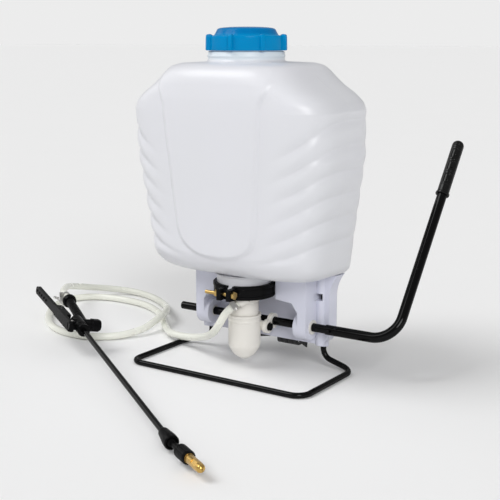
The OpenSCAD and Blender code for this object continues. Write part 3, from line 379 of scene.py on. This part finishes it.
base_white = moulded("base_white", (0.66, 0.67, 0.77), 0.36, grain=700, edge=0.0022, vary=0.02)
pump_white = moulded("pump_white", (0.78, 0.755, 0.705), 0.33, grain=900, edge=0.0012, vary=0.025)
strainer_blue = moulded("strainer_blue", (0.02, 0.20, 0.48), 0.4, edge=0.0008)
black_nylon = moulded("black_nylon", BLACK, 0.26, grain=1100, depth=0.00002, edge=0.0003, vary=0.2,
                      Specular_IOR_Level=0.01, Coat_Weight=0.12, Coat_Roughness=0.12)
soft_grip = moulded("soft_grip", (0.005, 0.005, 0.005), 0.32, grain=1500, depth=0.00004, edge=0.0003,
                    vary=0.2, Specular_IOR_Level=0.03, Coat_Weight=0.35, Coat_Roughness=0.12)
seal_rubber = moulded("seal_rubber", (0.02, 0.02, 0.02), 0.7, vary=0.15)
black_paint = painted_rod("black_paint", (0.002, 0.002, 0.0022), 0.1)
lance_paint = painted_rod("lance_paint", (0.002, 0.002, 0.002), 0.09)
plated_steel = bright_metal("plated_steel", (0.62, 0.61, 0.59), 0.22)
clamp_brass = bright_metal("clamp_brass", (0.62, 0.42, 0.15), 0.24)
turned_brass = bright_metal("turned_brass", (0.66, 0.42, 0.12), 0.2, turned=NOZZLE_AXIS)

FINISHES = {
    base_white: ["base"],
    pump_white: ["pump_body", "air_chamber", "pump_cup", "crank_arms", "shaft_bushes"],
    strainer_blue: ["strainer"],
    black_nylon: ["neck_clamp", "handle", "handle_collar", "trigger", "valve_cap", "lance_nut",
                  "lance_collar", "nozzle_neck", "nozzle_nut", "strap_anchors", "strap_adjusters",
                  "trunnion_pins"],
    seal_rubber: ["cap_gasket", "cap_vent", "neck_gasket", "piston_seal", "lance_seal"],
    black_paint: ["stand_frame", "lever_shaft", "lever_tube", "lever_pin"],
    lance_paint: ["lance_tube"],
    plated_steel: ["outlet_ball", "pump_hose_clip", "handle_hose_clip", "trigger_pin",
                   "trigger_lock"],
    clamp_brass: ["clamp_bolt", "clamp_nut", "valve_stem", "swirl_core"],
    turned_brass: ["nozzle_tip"],
}


def dress(piece, material):
    """Gives a piece one finish all over."""
    piece.data.materials.clear()
    piece.data.materials.append(material)


for material, nodes in FINISHES.items():
    for node in nodes:
        dress(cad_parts[node], material)


# Camera, light and floor

LENS, SENSOR = 76.3, 36
CAMERA_FROM = AXIS + np.array([0.9275, -1.3669, 0.5220])
CAMERA_DOWN, CAMERA_TURN = math.radians(11.331), math.radians(33.967)
# strength of the surround at the horizon and above it, and the rise over which it changes
HORIZON, SURROUND = 0.84, 0.35
FADE_LOW, FADE_HIGH = 0.05, 0.2
FLOOR_HALF = 60.0


def camera():
    """The photograph's view: its standpoint and its field of view."""
    data = bpy.data.cameras.new("camera")
    data.lens = LENS
    data.sensor_width = SENSOR
    seen = bpy.data.objects.new("camera", data)
    seen.location = CAMERA_FROM
    seen.rotation_euler = (math.pi / 2 - CAMERA_DOWN, 0, CAMERA_TURN)
    bpy.context.collection.objects.link(seen)
    bpy.context.scene.camera = seen


def soft_key(name, azimuth, elevation, spread, power):
    """Even light from a disc of the sky spread degrees wide; azimuth 0 is the front, 90 the right."""
    data = bpy.data.lights.new(name, "SUN")
    data.energy = power
    data.angle = math.radians(spread)
    lamp = bpy.data.objects.new(name, data)
    lamp.rotation_euler = (math.radians(90 - elevation), 0, math.radians(azimuth))
    bpy.context.collection.objects.link(lamp)


def studio():
    """A pale sweep: a wide floor, an even surround that is brightest at the horizon, a broad key from high
    on the left, a smaller, lower one from the right and a weak one from the far left."""
    world = bpy.data.worlds.new("studio")
    bpy.context.scene.world = world
    world.use_nodes = True
    tree = world.node_tree
    tree.nodes["Background"].inputs["Color"].default_value = (1, 1, 1, 1)
    way = tree.nodes.new("ShaderNodeTexCoord")
    height = tree.nodes.new("ShaderNodeSeparateXYZ")
    level = tree.nodes.new("ShaderNodeMapRange")
    level.inputs["From Min"].default_value = FADE_LOW
    level.inputs["From Max"].default_value = FADE_HIGH
    level.inputs["To Min"].default_value = HORIZON
    level.inputs["To Max"].default_value = SURROUND
    tree.links.new(way.outputs["Generated"], height.inputs[0])
    tree.links.new(height.outputs["Z"], level.inputs["Value"])
    tree.links.new(level.outputs[0], tree.nodes["Background"].inputs["Strength"])
    bpy.context.scene.view_settings.view_transform = "Standard"
    soft_key("left_key", azimuth=-50, elevation=52, spread=34, power=1.34)
    soft_key("right_key", azimuth=46, elevation=29, spread=26, power=1.36)
    soft_key("far_left_key", azimuth=-92, elevation=24, spread=30, power=0.26)
    sides = np.linspace(-FLOOR_HALF, FLOOR_HALF, 2)
    y, x = np.meshgrid(sides, sides, indexing="ij")
    floor = surface("floor", np.stack([x, y, np.zeros_like(x)], -1), wrap_cols=False)
    f = Finish("floor_paper", (0.9, 0.9, 0.9), 0.9)
    f.feed(Base_Color=f.blend(f.noise(3, 2), (0.895, 0.895, 0.895, 1), (0.905, 0.905, 0.905, 1)))
    dress(floor, f.material)


camera()
studio()


# Hose: the same route as the solid's, measured from the tank's axis

HOSE_R = 6.3
HOSE_BORE = 4.1
HOSE_FLOOR = HOSE_R + 0.5
HOSE_ROUTE = [
    (11.53, -37.09, 114.38), (0.75, -43.08, 105.84),
    (-13, -42, 92), (-23, -43, 76), (-38, -36, 60), (-62, -18, 45), (-96, 5, 31),
    (-130, 20, 22), (-160, 28, 18), (-190, 45, 14), (-222, 74, 8), (-262, 114, HOSE_FLOOR),
    (-312, 162, HOSE_FLOOR), (-376, 196, HOSE_FLOOR), (-450, 204, HOSE_FLOOR),
    (-506, 186, HOSE_FLOOR), (-528, 146, HOSE_FLOOR), (-518, 98, HOSE_FLOOR),
    (-486, 46, HOSE_FLOOR), (-444, 2, HOSE_FLOOR), (-400, -27, HOSE_FLOOR),
    (-352, -38, HOSE_FLOOR), (-306, -30, HOSE_FLOOR), (-272, 0, HOSE_FLOOR),
    (-255, 42, 11), (-253, 74, 18), (-259, 108, 23), (-280, 146, 22), (-316, 188, 14),
    (-360, 228, 8), (-412, 256, HOSE_FLOOR), (-464, 264, 8), (-504, 242, 13),
    (-520, 200, 22), (-513, 148, 35), (-486, 96, 48),
    (-426.28, 23.93, 61.36), (-402.14, 6.22, 59.41), (-384.44, -6.76, 57.98)]


def hose():
    """A tube with a bore: the outer circle carried along the route, and the inner one back again."""
    line = curve_through(AXIS + MM * np.array(HOSE_ROUTE), 10)
    outer = along(line, circle(HOSE_R * MM, 24))
    inner = along(line, circle(HOSE_BORE * MM, 24))
    piece = surface("hose_tube", np.concatenate([outer, inner[::-1]]), wrap_rows=True)
    dress(piece, hose_vinyl())
    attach(piece, "body")
    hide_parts("hose")


hose()


# Tank

HALF_W = 178
FRONT, BACK = -103, 112
BOTTOM, TOP = 158, 486
WALL = 3.2
POWER = 4
SEAM_Y = 8
TAPER_Z, TAPER, FRONT_SLOPE, SLOPE_BLUR = TOP - 141, 0.15, 0.08, 24
# shoulder: height above its foot, and share of the half width
SHOULDER_Z, SHOULDER_END = TOP - 71, 69.5
SHOULDER = [(0, 1), (12, 0.965), (24, 0.885), (36, 0.775), (47, 0.695), (59, 0.63), (66, 0.58),
            (70.5, 0.475)]
# raised panel: its widths, its round foot, its spread over the shoulder, its stepped edge and where it fades
PANEL_TOP_W, PANEL_LOW_W, PANEL_PROUD, PANEL_CLEAR = 170, 128, 4, 14
PANEL_FOOT, FOOT_H, FOOT_LEAST, ARCH = BOTTOM + 34, 48, 0.3, 2.4
PANEL_SPREAD, SPREAD_FROM, SPREAD_OVER = 14, 5, 40
STEP_OUT, STEP_W, EDGE_W = 5, 8, 6
PANEL_FADE, PANEL_FADE_FROM, PANEL_FADE_OVER = 0.7, 15, 35
# side grooves: their pitch grows and they climb towards the side, and they fade in and out over some columns
RIBS, RIB_DEPTH, RIB_POWER, RIB_CLIMB = 6, 4.6, 0.85, 40
RIB_LOW, RIB_PITCH, RIB_SPREAD = BOTTOM + 22, 31.4, 5
RIB_IN, RIB_OUT_FROM, RIB_OUT = 3.5, 12.5, 6
CROWN_R = 34
FOOT_R_FRONT, FOOT_R_BACK, FOOT_TURN_FROM, FOOT_TURN = 40, 12, 8, 8
WALL_LOW, WALL_HIGH = BOTTOM + 44, SHOULDER_Z - 2
CROWN_WALL_FROM, CROWN_WALL_OVER = 8, 60
NECK_R, MOUTH_R, MOUTH_IN, NECK_TOP, MOUTH_TOP = 59, 56.5, 53, TOP + 15, TOP + 31
SPIGOT_R, SPIGOT_Z, PUMP_Y = 43.5, BOTTOM - 26, -6
# columns round half the outline, and rings up the foot, wall and shoulder of the outer and the inner skin
PANEL_COLS, EDGE_COL, SIDE_COL, BACK_COL = 4, 5, 13, 24
STEP_COLS = 3.7, 5.3
OUTER_RINGS, INNER_RINGS = (31, 84, 48), (7, 24, 14)


def tank_half(z):
    """Half width: straight below the shoulder but for a taper, then drawn in along the shoulder's curve."""
    h, share = curve_through(SHOULDER, 12).T
    straight = HALF_W - TAPER * np.maximum(0, TAPER_Z - z)
    return np.where(z <= SHOULDER_Z, straight, HALF_W * np.interp(z - SHOULDER_Z, h, share))


def crown_inset(z):
    """How far the front and back draw in at the top: a quarter circle of the crown's radius."""
    t = np.clip((z - TOP + CROWN_R) / CROWN_R, 0, 1)
    return CROWN_R * (1 - np.sqrt(1 - t * t))


def panel_side(z):
    """Half width of the raised panel above its foot: it narrows downwards and spreads over the shoulder."""
    up = np.clip((z - BOTTOM) / (SHOULDER_Z - BOTTOM), 0, 1)
    side = (PANEL_LOW_W + (PANEL_TOP_W - PANEL_LOW_W) * up) / 2
    return side + PANEL_SPREAD * ease((z - SHOULDER_Z - SPREAD_FROM) / SPREAD_OVER)


def panel_half(z):
    """Half width of the raised panel with its round foot, the arch of a superellipse."""
    t = np.clip(1 - (z - PANEL_FOOT) / FOOT_H, 0, 1)
    return panel_side(z) * np.maximum(FOOT_LEAST, (1 - t**ARCH) ** (1 / ARCH))


def panel_step(x, z, a):
    """How far the panel stands proud: fully from 3 mm inside its outline, not at all from 5 mm outside, and
    less over the shoulder. The way in from the outline is one less the superellipse's own radius, times its
    half size."""
    side = np.minimum(panel_side(z), a - PANEL_CLEAR)
    t = np.clip(1 - (z - PANEL_FOOT) / FOOT_H, 0, 2)
    size = FOOT_H + (side - FOOT_H) * np.clip(1 - t, 0, 1)
    way_in = size * (1 - ((np.abs(x) / side) ** ARCH + t**ARCH) ** (1 / ARCH))
    fade = 1 - PANEL_FADE * ease((z - SHOULDER_Z - PANEL_FADE_FROM) / PANEL_FADE_OVER)
    return PANEL_PROUD * ease((way_in + STEP_OUT) / STEP_W) * fade


def rib(z, s):
    """Depth of the side grooves at height z, s from 0 at the panel's edge to 1 at the side: sharp valleys
    between round waves that climb towards the side."""
    count = (z - RIB_LOW - RIB_CLIMB * s * (2 - s)) / (RIB_PITCH + RIB_SPREAD * s)
    wave = RIB_DEPTH * (1 - np.abs(np.sin(np.pi * count)) ** RIB_POWER)
    return np.where((count < -0.5) | (count > RIBS - 0.5), 0, wave)


def outline(k, z, inset):
    """A point of the plan outline at height z. Column k runs from 0, front middle, past the panel's edge and
    the side to the back middle. The outline is a fourth-power ellipse with the panel stepped out of its
    front."""
    a = tank_half(z) - inset
    yf = FRONT + PANEL_PROUD + FRONT_SLOPE * soft_ramp(SHOULDER_Z - z, SLOPE_BLUR) + crown_inset(z) + inset
    yb = BACK - crown_inset(z) - inset
    yc, b = (yf + yb) / 2, (yb - yf) / 2
    w = np.minimum(panel_half(z), a - PANEL_CLEAR)
    e = 2 / POWER
    edge = -np.arccos(((w + EDGE_W) / a) ** (1 / e))
    to_side = (k - EDGE_COL) / (SIDE_COL - EDGE_COL)
    front_phi = edge * (1 - to_side)
    back_phi = np.pi / 2 * (k - SIDE_COL) / (BACK_COL - SIDE_COL)
    phi = np.where(k <= SIDE_COL, front_phi, back_phi)
    x_flat = np.where(k <= PANEL_COLS, w * k / PANEL_COLS, w + EDGE_W * (k - PANEL_COLS))
    y_flat = yc - b * (1 - (np.minimum(x_flat, a) / a) ** POWER) ** (1 / POWER)
    flat = k <= EDGE_COL
    x = np.where(flat, x_flat, a * signed_power(np.cos(phi), e))
    y = np.where(flat, y_flat, yc + b * signed_power(np.sin(phi), e)) - panel_step(x, z, a) * (k < SIDE_COL)
    fade = np.where(flat, 0, ease((k - EDGE_COL) / RIB_IN) * (1 - ease((k - RIB_OUT_FROM) / RIB_OUT)))
    g = rib(z, np.clip(to_side, 0, 1)) * fade
    nx, ny = x / a, (y - yc) / b
    far = np.hypot(nx, ny)
    return np.stack([x - g * nx / far, y - g * ny / far, z + 0 * x], -1)


def tank_rows(k, inset, fine):
    """Rings of the tank from the spigot's lip to the mouth, drawn in by inset, for one half of the columns.
    The foot is a quarter circle that is wide at the front and narrow at the back."""
    turn = np.pi * k / BACK_COL

    def rings(profile, middle):
        r, z = np.array(profile, float).T[:, :, None]
        return np.stack([r * np.sin(turn), middle - r * np.cos(turn), z + 0 * turn], -1)

    foot_rings, wall_rings, shoulder_rings = OUTER_RINGS if fine else INNER_RINGS
    foot_r = FOOT_R_FRONT + (FOOT_R_BACK - FOOT_R_FRONT) * ease((k - FOOT_TURN_FROM) / FOOT_TURN)
    t = np.radians(np.linspace(90, 0, foot_rings))[:, None]
    z_foot = BOTTOM + foot_r * (1 - np.sin(t))
    foot = outline(k + 0 * t, z_foot, foot_r * (1 - np.cos(t)) + inset)
    foot[..., 2] = np.maximum(z_foot, BOTTOM + inset)
    wall_z = np.linspace(WALL_LOW, WALL_HIGH, wall_rings)[:, None]
    wall = outline(k + 0 * wall_z, wall_z + 0 * k, inset)
    h = np.linspace(0, SHOULDER_END, shoulder_rings)[:, None]
    shoulder = outline(k + 0 * h, SHOULDER_Z + h + 0 * k, inset)
    shoulder[..., 2] -= inset * ease((h - CROWN_WALL_FROM) / CROWN_WALL_OVER)
    if fine:
        lip = [(SPIGOT_R + 3, SPIGOT_Z), (SPIGOT_R + 3, SPIGOT_Z + 6), (SPIGOT_R, SPIGOT_Z + 8),
               (SPIGOT_R, BOTTOM - 5), (SPIGOT_R + 1.5, BOTTOM - 2), (SPIGOT_R + 5, BOTTOM)]
        neck = [(NECK_R + 6, TOP), (NECK_R + 2, TOP + 0.8), (NECK_R + 0.4, TOP + 3), (NECK_R, TOP + 5),
                (NECK_R, TOP + 7), (NECK_R + 1.1, TOP + 8.2), (NECK_R + 1.1, TOP + 9.2),
                (NECK_R, TOP + 10.4), (NECK_R, NECK_TOP - 0.6), (NECK_R - 0.6, NECK_TOP),
                (MOUTH_R, NECK_TOP + 1), (MOUTH_R, MOUTH_TOP)]
    else:
        lip = [(SPIGOT_R - inset, SPIGOT_Z), (SPIGOT_R - inset, BOTTOM - 1), (SPIGOT_R + 1, BOTTOM + inset)]
        neck = [(MOUTH_IN + 4, TOP - inset), (MOUTH_IN, TOP + 1), (MOUTH_IN, MOUTH_TOP)]
    return np.concatenate([rings(lip, PUMP_Y), foot, wall, shoulder, rings(neck, 0)])


def tank():
    """Outer skin up and inner skin down, both halves mirrored at the middle plane. Columns crowd at the
    panel's stepped edge."""
    step_from, step_to = STEP_COLS
    k = np.concatenate([np.linspace(0, step_from, 11)[:-1], np.linspace(step_from, step_to, 15)[:-1],
                        np.linspace(step_to, BACK_COL, 72)])[None, :]
    half = np.concatenate([tank_rows(k, 0.0, True), tank_rows(k, WALL, False)[::-1]])
    mirrored = (half * [-1, 1, 1])[:, -2:0:-1]
    grid = AXIS + MM * np.concatenate([half, mirrored], axis=1)
    piece = surface("tank_shell", grid, wrap_rows=True, sharp=50)
    dress(piece, tank_plastic())
    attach(piece, "body")
    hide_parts("tank")


tank()


# Filler cap

CAP_LUGS, LUG_TURN, LUG_PROUD, LUG_HALF, LUG_R = 8, math.radians(11.7), 5.0, 2.6, 64
LUG_COLS, LUG_CROWD, LUG_FLANK, LUG_RISE, LUG_TOP = 56, 0.3, 1.6, 2, 523
CROWN_FOOT, CROWN_EDGE = 525.5, 5
# radius, height and how much of the lugs a ring takes: over the top, down the skirt, up inside to the vent
CAP_PROFILE = np.array([
    (2.6, 538.5, 0), (12, 538.45, 0), (24, 538.1, 0), (34, 537.4, 0), (40, 536.6, 0), (43, 535.6, 0),
    (44.8, 534.2, 0), (45.6, 532.5, 0), (47.1, 529.8, 0), (48.6, 527.2, 0), (49.4, 526, 0),
    (50.6, CROWN_FOOT, 0), (54, CROWN_FOOT, 0), (57.5, CROWN_FOOT, 0), (58.6, 525.4, 0.35),
    (59.6, 524.9, 0.75), (60.2, 524, 0.92), (60.5, 522.6, 1), (60.6, 518, 1), (60.8, 510, 1),
    (60.9, 504.6, 1), (60.6, 503.5, 0.95), (59.8, 503, 0.8), (58.2, 503, 0), (57.4, 503.6, 0),
    (57.4, 521.5, 0), (41.6, 521.5, 0), (41.6, 531.5, 0), (2.6, 531.5, 0)])


def filler_cap():
    """The profile turned about the tank's axis, with narrow rounded lugs: each column is moved out by its
    nearness to a lug's middle, and columns crowd there."""
    share = np.linspace(-0.5, 0.5, LUG_COLS, endpoint=False)
    near = LUG_CROWD * share + (1 - LUG_CROWD) / 2 * signed_power(2 * share, 2)
    sector = 2 * np.pi / CAP_LUGS
    turn = (LUG_TURN + sector * (np.arange(CAP_LUGS)[:, None] + near)).ravel()
    lug = np.tile(ease((LUG_HALF + LUG_FLANK - np.abs(near) * sector * LUG_R) / LUG_FLANK), CAP_LUGS)
    r, z, part = CAP_PROFILE.T[:, :, None]
    r = r + LUG_PROUD * part * lug
    z = z + LUG_RISE * ((part > 0) & (z > LUG_TOP)) * lug
    grid = np.stack([r * np.cos(turn), r * np.sin(turn), z], -1)
    piece = surface("cap_shell", AXIS + MM * grid, wrap_rows=True, sharp=50)
    dress(piece, cap_plastic())
    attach(piece, "cap")
    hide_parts("filler_cap")


filler_cap()


# Lever grip

GRIP_FROM, GRIP_TO, GRIP_R, TUBE_R = 256, 357, 9.6, 8.02
LEVER_BEND = np.array([250, 28, 74])
LEVER_LEAN = math.radians(37.5)
# the direction of the marked face, square to the grip
GRIP_FACE = np.array([0.441, -0.712, 0.547])
BORE_DEEP, TIP_R, FACE_CROWD = 94, 0.02, 0.45
LIP_HIGH, LIP_L, LIP_BLUR, LIP_CHAMFER = 1.4, 3.4, 1.2, 0.8
# bars, pockets and marks: places along the grip, then sizes measured from each bar's middle
GRIP_BARS = np.array([18, 41, 64, 87])
BAR_HALF, BAR_L, BAR_HIGH = 5.6, 1.6, 0.9
POCKET_FROM, POCKET_TO, POCKET_HALF, POCKET_DEEP, POCKET_BLUR = 2.4, 17.5, BAR_HALF + 0.4, 1.5, 1.2
POCKET_END, POCKET_END_BLUR = 90, 3
MARK_FROM, MARK_LONG, MARK_HALF, MARK_SLOPE = 6.5, 4.5, 2.4, 0.5
# a low end that nothing reaches
NO_LOW = -9


def rise(v, low, high, blur=0.5):
    """1 between low and high, 0 outside, with edges blur wide."""
    return ease((v - low) / blur + 0.5) * (1 - ease((v - high) / blur + 0.5))


def lever_grip():
    """Grip sleeve: a bore and a round body with a lip and a domed end. One face has four raised bars, each
    with a shallow pocket and a small pointed mark above it, and columns crowd there."""
    body = np.linspace(0, GRIP_TO - GRIP_FROM - GRIP_R, 230)
    dome = np.linspace(0, np.pi / 2, 14)[1:]
    run = np.concatenate([[BORE_DEEP, BORE_DEEP, 0], body, body[-1] + GRIP_R * np.sin(dome)])[:, None]
    lip = LIP_HIGH * (1 - ease((body - LIP_L) / LIP_BLUR)) - LIP_CHAMFER * (1 - ease(body / LIP_CHAMFER))
    radius = np.concatenate([[TIP_R, TUBE_R, TUBE_R], GRIP_R + lip, GRIP_R * np.cos(dome) + TIP_R])[:, None]
    a = np.linspace(-np.pi, np.pi, 144, endpoint=False)[None, :]
    a = a - FACE_CROWD * np.sin(a)
    wide = np.abs(radius * np.sin(a))
    past = run[..., None] - GRIP_BARS
    bar = rise(past, -BAR_L, BAR_L).max(-1) * rise(wide, NO_LOW, BAR_HALF)
    pocket = rise(past, POCKET_FROM, POCKET_TO, POCKET_BLUR).max(-1)
    pocket = pocket * rise(wide, NO_LOW, POCKET_HALF, POCKET_BLUR)
    pocket = pocket * rise(run, NO_LOW, POCKET_END, POCKET_END_BLUR)
    point = wide[..., None] + (past - MARK_FROM) * MARK_SLOPE
    mark = (rise(past, MARK_FROM, MARK_FROM + MARK_LONG) * rise(point, NO_LOW, MARK_HALF)).max(-1)
    outside = (np.arange(len(run)) > 2)[:, None] & (np.cos(a) > 0)
    r = radius + outside * (BAR_HIGH * bar - POCKET_DEEP * pocket * (1 - mark))
    axis = np.array([0, math.sin(LEVER_LEAN), math.cos(LEVER_LEAN)])
    out = np.cos(a)[..., None] * GRIP_FACE + np.sin(a)[..., None] * np.cross(axis, GRIP_FACE)
    grid = LEVER_BEND + (GRIP_FROM + run[..., None]) * axis + r[..., None] * out
    piece = surface("grip_sleeve", AXIS + MM * grid, close_ends=True)
    dress(piece, soft_grip)
    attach(piece, "lever")
    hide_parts("lever_grip")


lever_grip()


# Valve spring

# the valve's place, and the turns of the handle about X, Y and Z
VALVE = np.array([-266, -104.5, 49.6])
HANDLE_TURNS = np.radians([80, 4.3, -33])
STEM_X, SPRING_R, WIRE_R, SPRING_TURNS = -7, 4.3, 0.6, 5
SPRING_FOOT, SPRING_TOP, STEM_STROKE = -27, -8, 1.4


def turn_about(axis, angle):
    """The matrix of a turn about one axis: 0 is X, 1 is Y, 2 is Z."""
    m = np.eye(3)
    i, j = (axis + 1) % 3, (axis + 2) % 3
    m[i, i] = m[j, j] = math.cos(angle)
    m[j, i] = math.sin(angle)
    m[i, j] = -m[j, i]
    return m


def valve_spring():
    """A wire carried along a helix."""
    roll, pitch, yaw = HANDLE_TURNS
    turned = turn_about(2, yaw) @ turn_about(1, pitch) @ turn_about(0, roll)
    a = np.linspace(0, 2 * np.pi * SPRING_TURNS, 24 * SPRING_TURNS + 1)
    z = np.linspace(SPRING_FOOT + WIRE_R, SPRING_TOP - WIRE_R, len(a))
    helix = np.stack([STEM_X + SPRING_R * np.cos(a), SPRING_R * np.sin(a), z], -1)
    line = AXIS + MM * (VALVE + helix @ turned.T)
    piece = surface("spring_coil", along(line, circle(WIRE_R * MM, 10), side=turned[:, 2]), close_ends=True)
    dress(piece, plated_steel)
    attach(piece, "body")
    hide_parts("valve_spring")
    foot = AXIS + MM * (VALVE + turned @ np.array([STEM_X, 0, SPRING_FOOT]))
    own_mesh(piece)


valve_spring()


# Straps

WEB_W, WEB_T, WEB_ROUND = 40, 2.4, 1.1
STRAP_X = 44
SLOT_Y, ANCHOR_Z = BACK + 6.4, TOP - 60
PANEL_BACK, PANEL_Z = 69, 42
# side view of the webbing, (y, z): up through the anchor, out over the shoulder and down to the base
STRAP_ROUTE = [
    (SLOT_Y, ANCHOR_Z - 24), (SLOT_Y, ANCHOR_Z - 6), (SLOT_Y + 1, ANCHOR_Z + 12),
    (SLOT_Y + 14, ANCHOR_Z + 27), (SLOT_Y + 34, ANCHOR_Z + 22), (SLOT_Y + 54, ANCHOR_Z - 8),
    (SLOT_Y + 68, ANCHOR_Z - 60), (SLOT_Y + 74, ANCHOR_Z - 120), (SLOT_Y + 70, ANCHOR_Z - 180),
    (SLOT_Y + 54, ANCHOR_Z - 240), (SLOT_Y + 30, ANCHOR_Z - 290), (PANEL_BACK + 42, PANEL_Z + 48),
    (PANEL_BACK + 28, PANEL_Z + 35), (PANEL_BACK + 17, PANEL_Z + 24), (PANEL_BACK + 6, PANEL_Z + 13)]
# and on, through the base and round its lower edge
STRAP_TAIL = [(66, 55), (59, 55), (56, 53.6), (55.1, 50), (55, 44), (55, 37), (55.6, 33.4), (58, 31.2),
              (62, 30.8), (68, 30.8)]
END_TOP, END_LOW, END_Y, END_SWAY = PANEL_Z + 40, PANEL_Z - 24, PANEL_BACK + 33.5, 2.5
END_TURN, END_TURN_FROM, END_TURN_OVER = math.radians(39), PANEL_Z + 20, 24
# pad: its share of the route in points, its size, and the sewn channels across it
PAD_STEPS, PAD_FROM, PAD_TO = 30, 140, 270
PAD_W, PAD_T, PAD_GAP = 62, 13, 0.2
PAD_END, PAD_LEAST, PAD_FULL = 0.01, 0.05, 0.4
PAD_ROUND_ACROSS, PAD_ROUND_DEEP = 0.6, 0.7
CHANNELS, CHANNEL_DEEP, CHANNEL_W, CHANNEL_FROM = 6, 0.30, 0.004, 0.75


def rounded_strip(width, thick, corner, per_corner=4):
    """Section of a flat strip with round corners: four quarter circles."""
    a = np.linspace(0, np.pi / 2, per_corner)
    arc = corner * np.stack([np.cos(a), np.sin(a)], -1)
    centre = np.array([width / 2 - corner, thick / 2 - corner])
    quarters = [arc + centre, arc[::-1] * [-1, 1] + centre * [-1, 1],
                -arc - centre, arc[::-1] * [1, -1] + centre * [1, -1]]
    return np.concatenate(quarters)


def strap(name, node, hand):
    """Webbing: a flat strip carried along the strap's side view and on round the base panel's lower edge."""
    path = [(hand * STRAP_X, y, z) for y, z in STRAP_ROUTE + STRAP_TAIL]
    line = AXIS + MM * curve_through(path, 8)
    grid = along(line, MM * rounded_strip(WEB_W, WEB_T, WEB_ROUND), side=np.array([1.0, 0, 0]))
    piece = surface(name, grid, close_ends=True)
    dress(piece, woven_webbing(length_of(line)))
    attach(piece, "body")
    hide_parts(node)


def loose_end(name, hand):
    """Free end of the webbing: a flat strip that hangs from the adjuster, sways back by half a sine wave and
    twists as it goes down."""
    z = np.linspace(END_TOP, END_LOW, 60)[:, None]
    turn = -hand * END_TURN * ease((END_TURN_FROM - z) / END_TURN_OVER)
    across, thick = rounded_strip(WEB_W, WEB_T, WEB_ROUND).T
    y = END_Y + END_SWAY * np.sin((END_TOP - z) / (END_TOP - END_LOW) * np.pi)
    grid = np.stack([hand * STRAP_X + across * np.cos(turn) - thick * np.sin(turn),
                     y + across * np.sin(turn) + thick * np.cos(turn), z + 0 * across], -1)
    piece = surface(name, AXIS + MM * grid, close_ends=True)
    dress(piece, woven_webbing((END_TOP - END_LOW) * MM))
    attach(piece, "body")


def pad(name, node, hand):
    """Shoulder pad: a crowned section under the webbing, full in the middle and drawn in at both ends, with
    shallow sewn channels across it."""
    path = curve_through([(hand * STRAP_X, y, z) for y, z in STRAP_ROUTE], PAD_STEPS)
    line = path[PAD_FROM:PAD_TO + 1]
    tangent = unit(np.gradient(line, axis=0))
    inward = -np.cross([1.0, 0, 0], tangent)[:, None]
    t = np.linspace(0, 1, len(line))[:, None, None]
    full = np.maximum(PAD_LEAST, np.sin(np.pi * (PAD_END + (1 - 2 * PAD_END) * t))) ** PAD_FULL
    groove = np.exp(-((t * CHANNELS + 0.5) % 1 - 0.5) ** 2 / CHANNEL_W)
    channel = 1 - CHANNEL_DEEP * groove * (full > CHANNEL_FROM)
    a = np.linspace(0, 2 * np.pi, 64, endpoint=False)[None, :, None]
    across = PAD_W / 2 * full * signed_power(np.cos(a), PAD_ROUND_ACROSS)
    crown = 1 + signed_power(np.sin(a), PAD_ROUND_DEEP) * channel
    depth = WEB_T / 2 + PAD_GAP + PAD_T / 2 * full * crown
    grid = AXIS + MM * (line[:, None] + across * [1.0, 0, 0] + depth * inward)
    piece = surface(name, grid, close_ends=True, sharp=60)
    dress(piece, padded_cloth(length_of(line) * MM))
    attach(piece, "body")
    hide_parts(node)


strap("webbing_left", "strap_left", -1)
strap("webbing_right", "strap_right", 1)
loose_end("loose_end_left", -1)
loose_end("loose_end_right", 1)
pad("cushion_left", "pad_left", -1)
pad("cushion_right", "pad_right", 1)
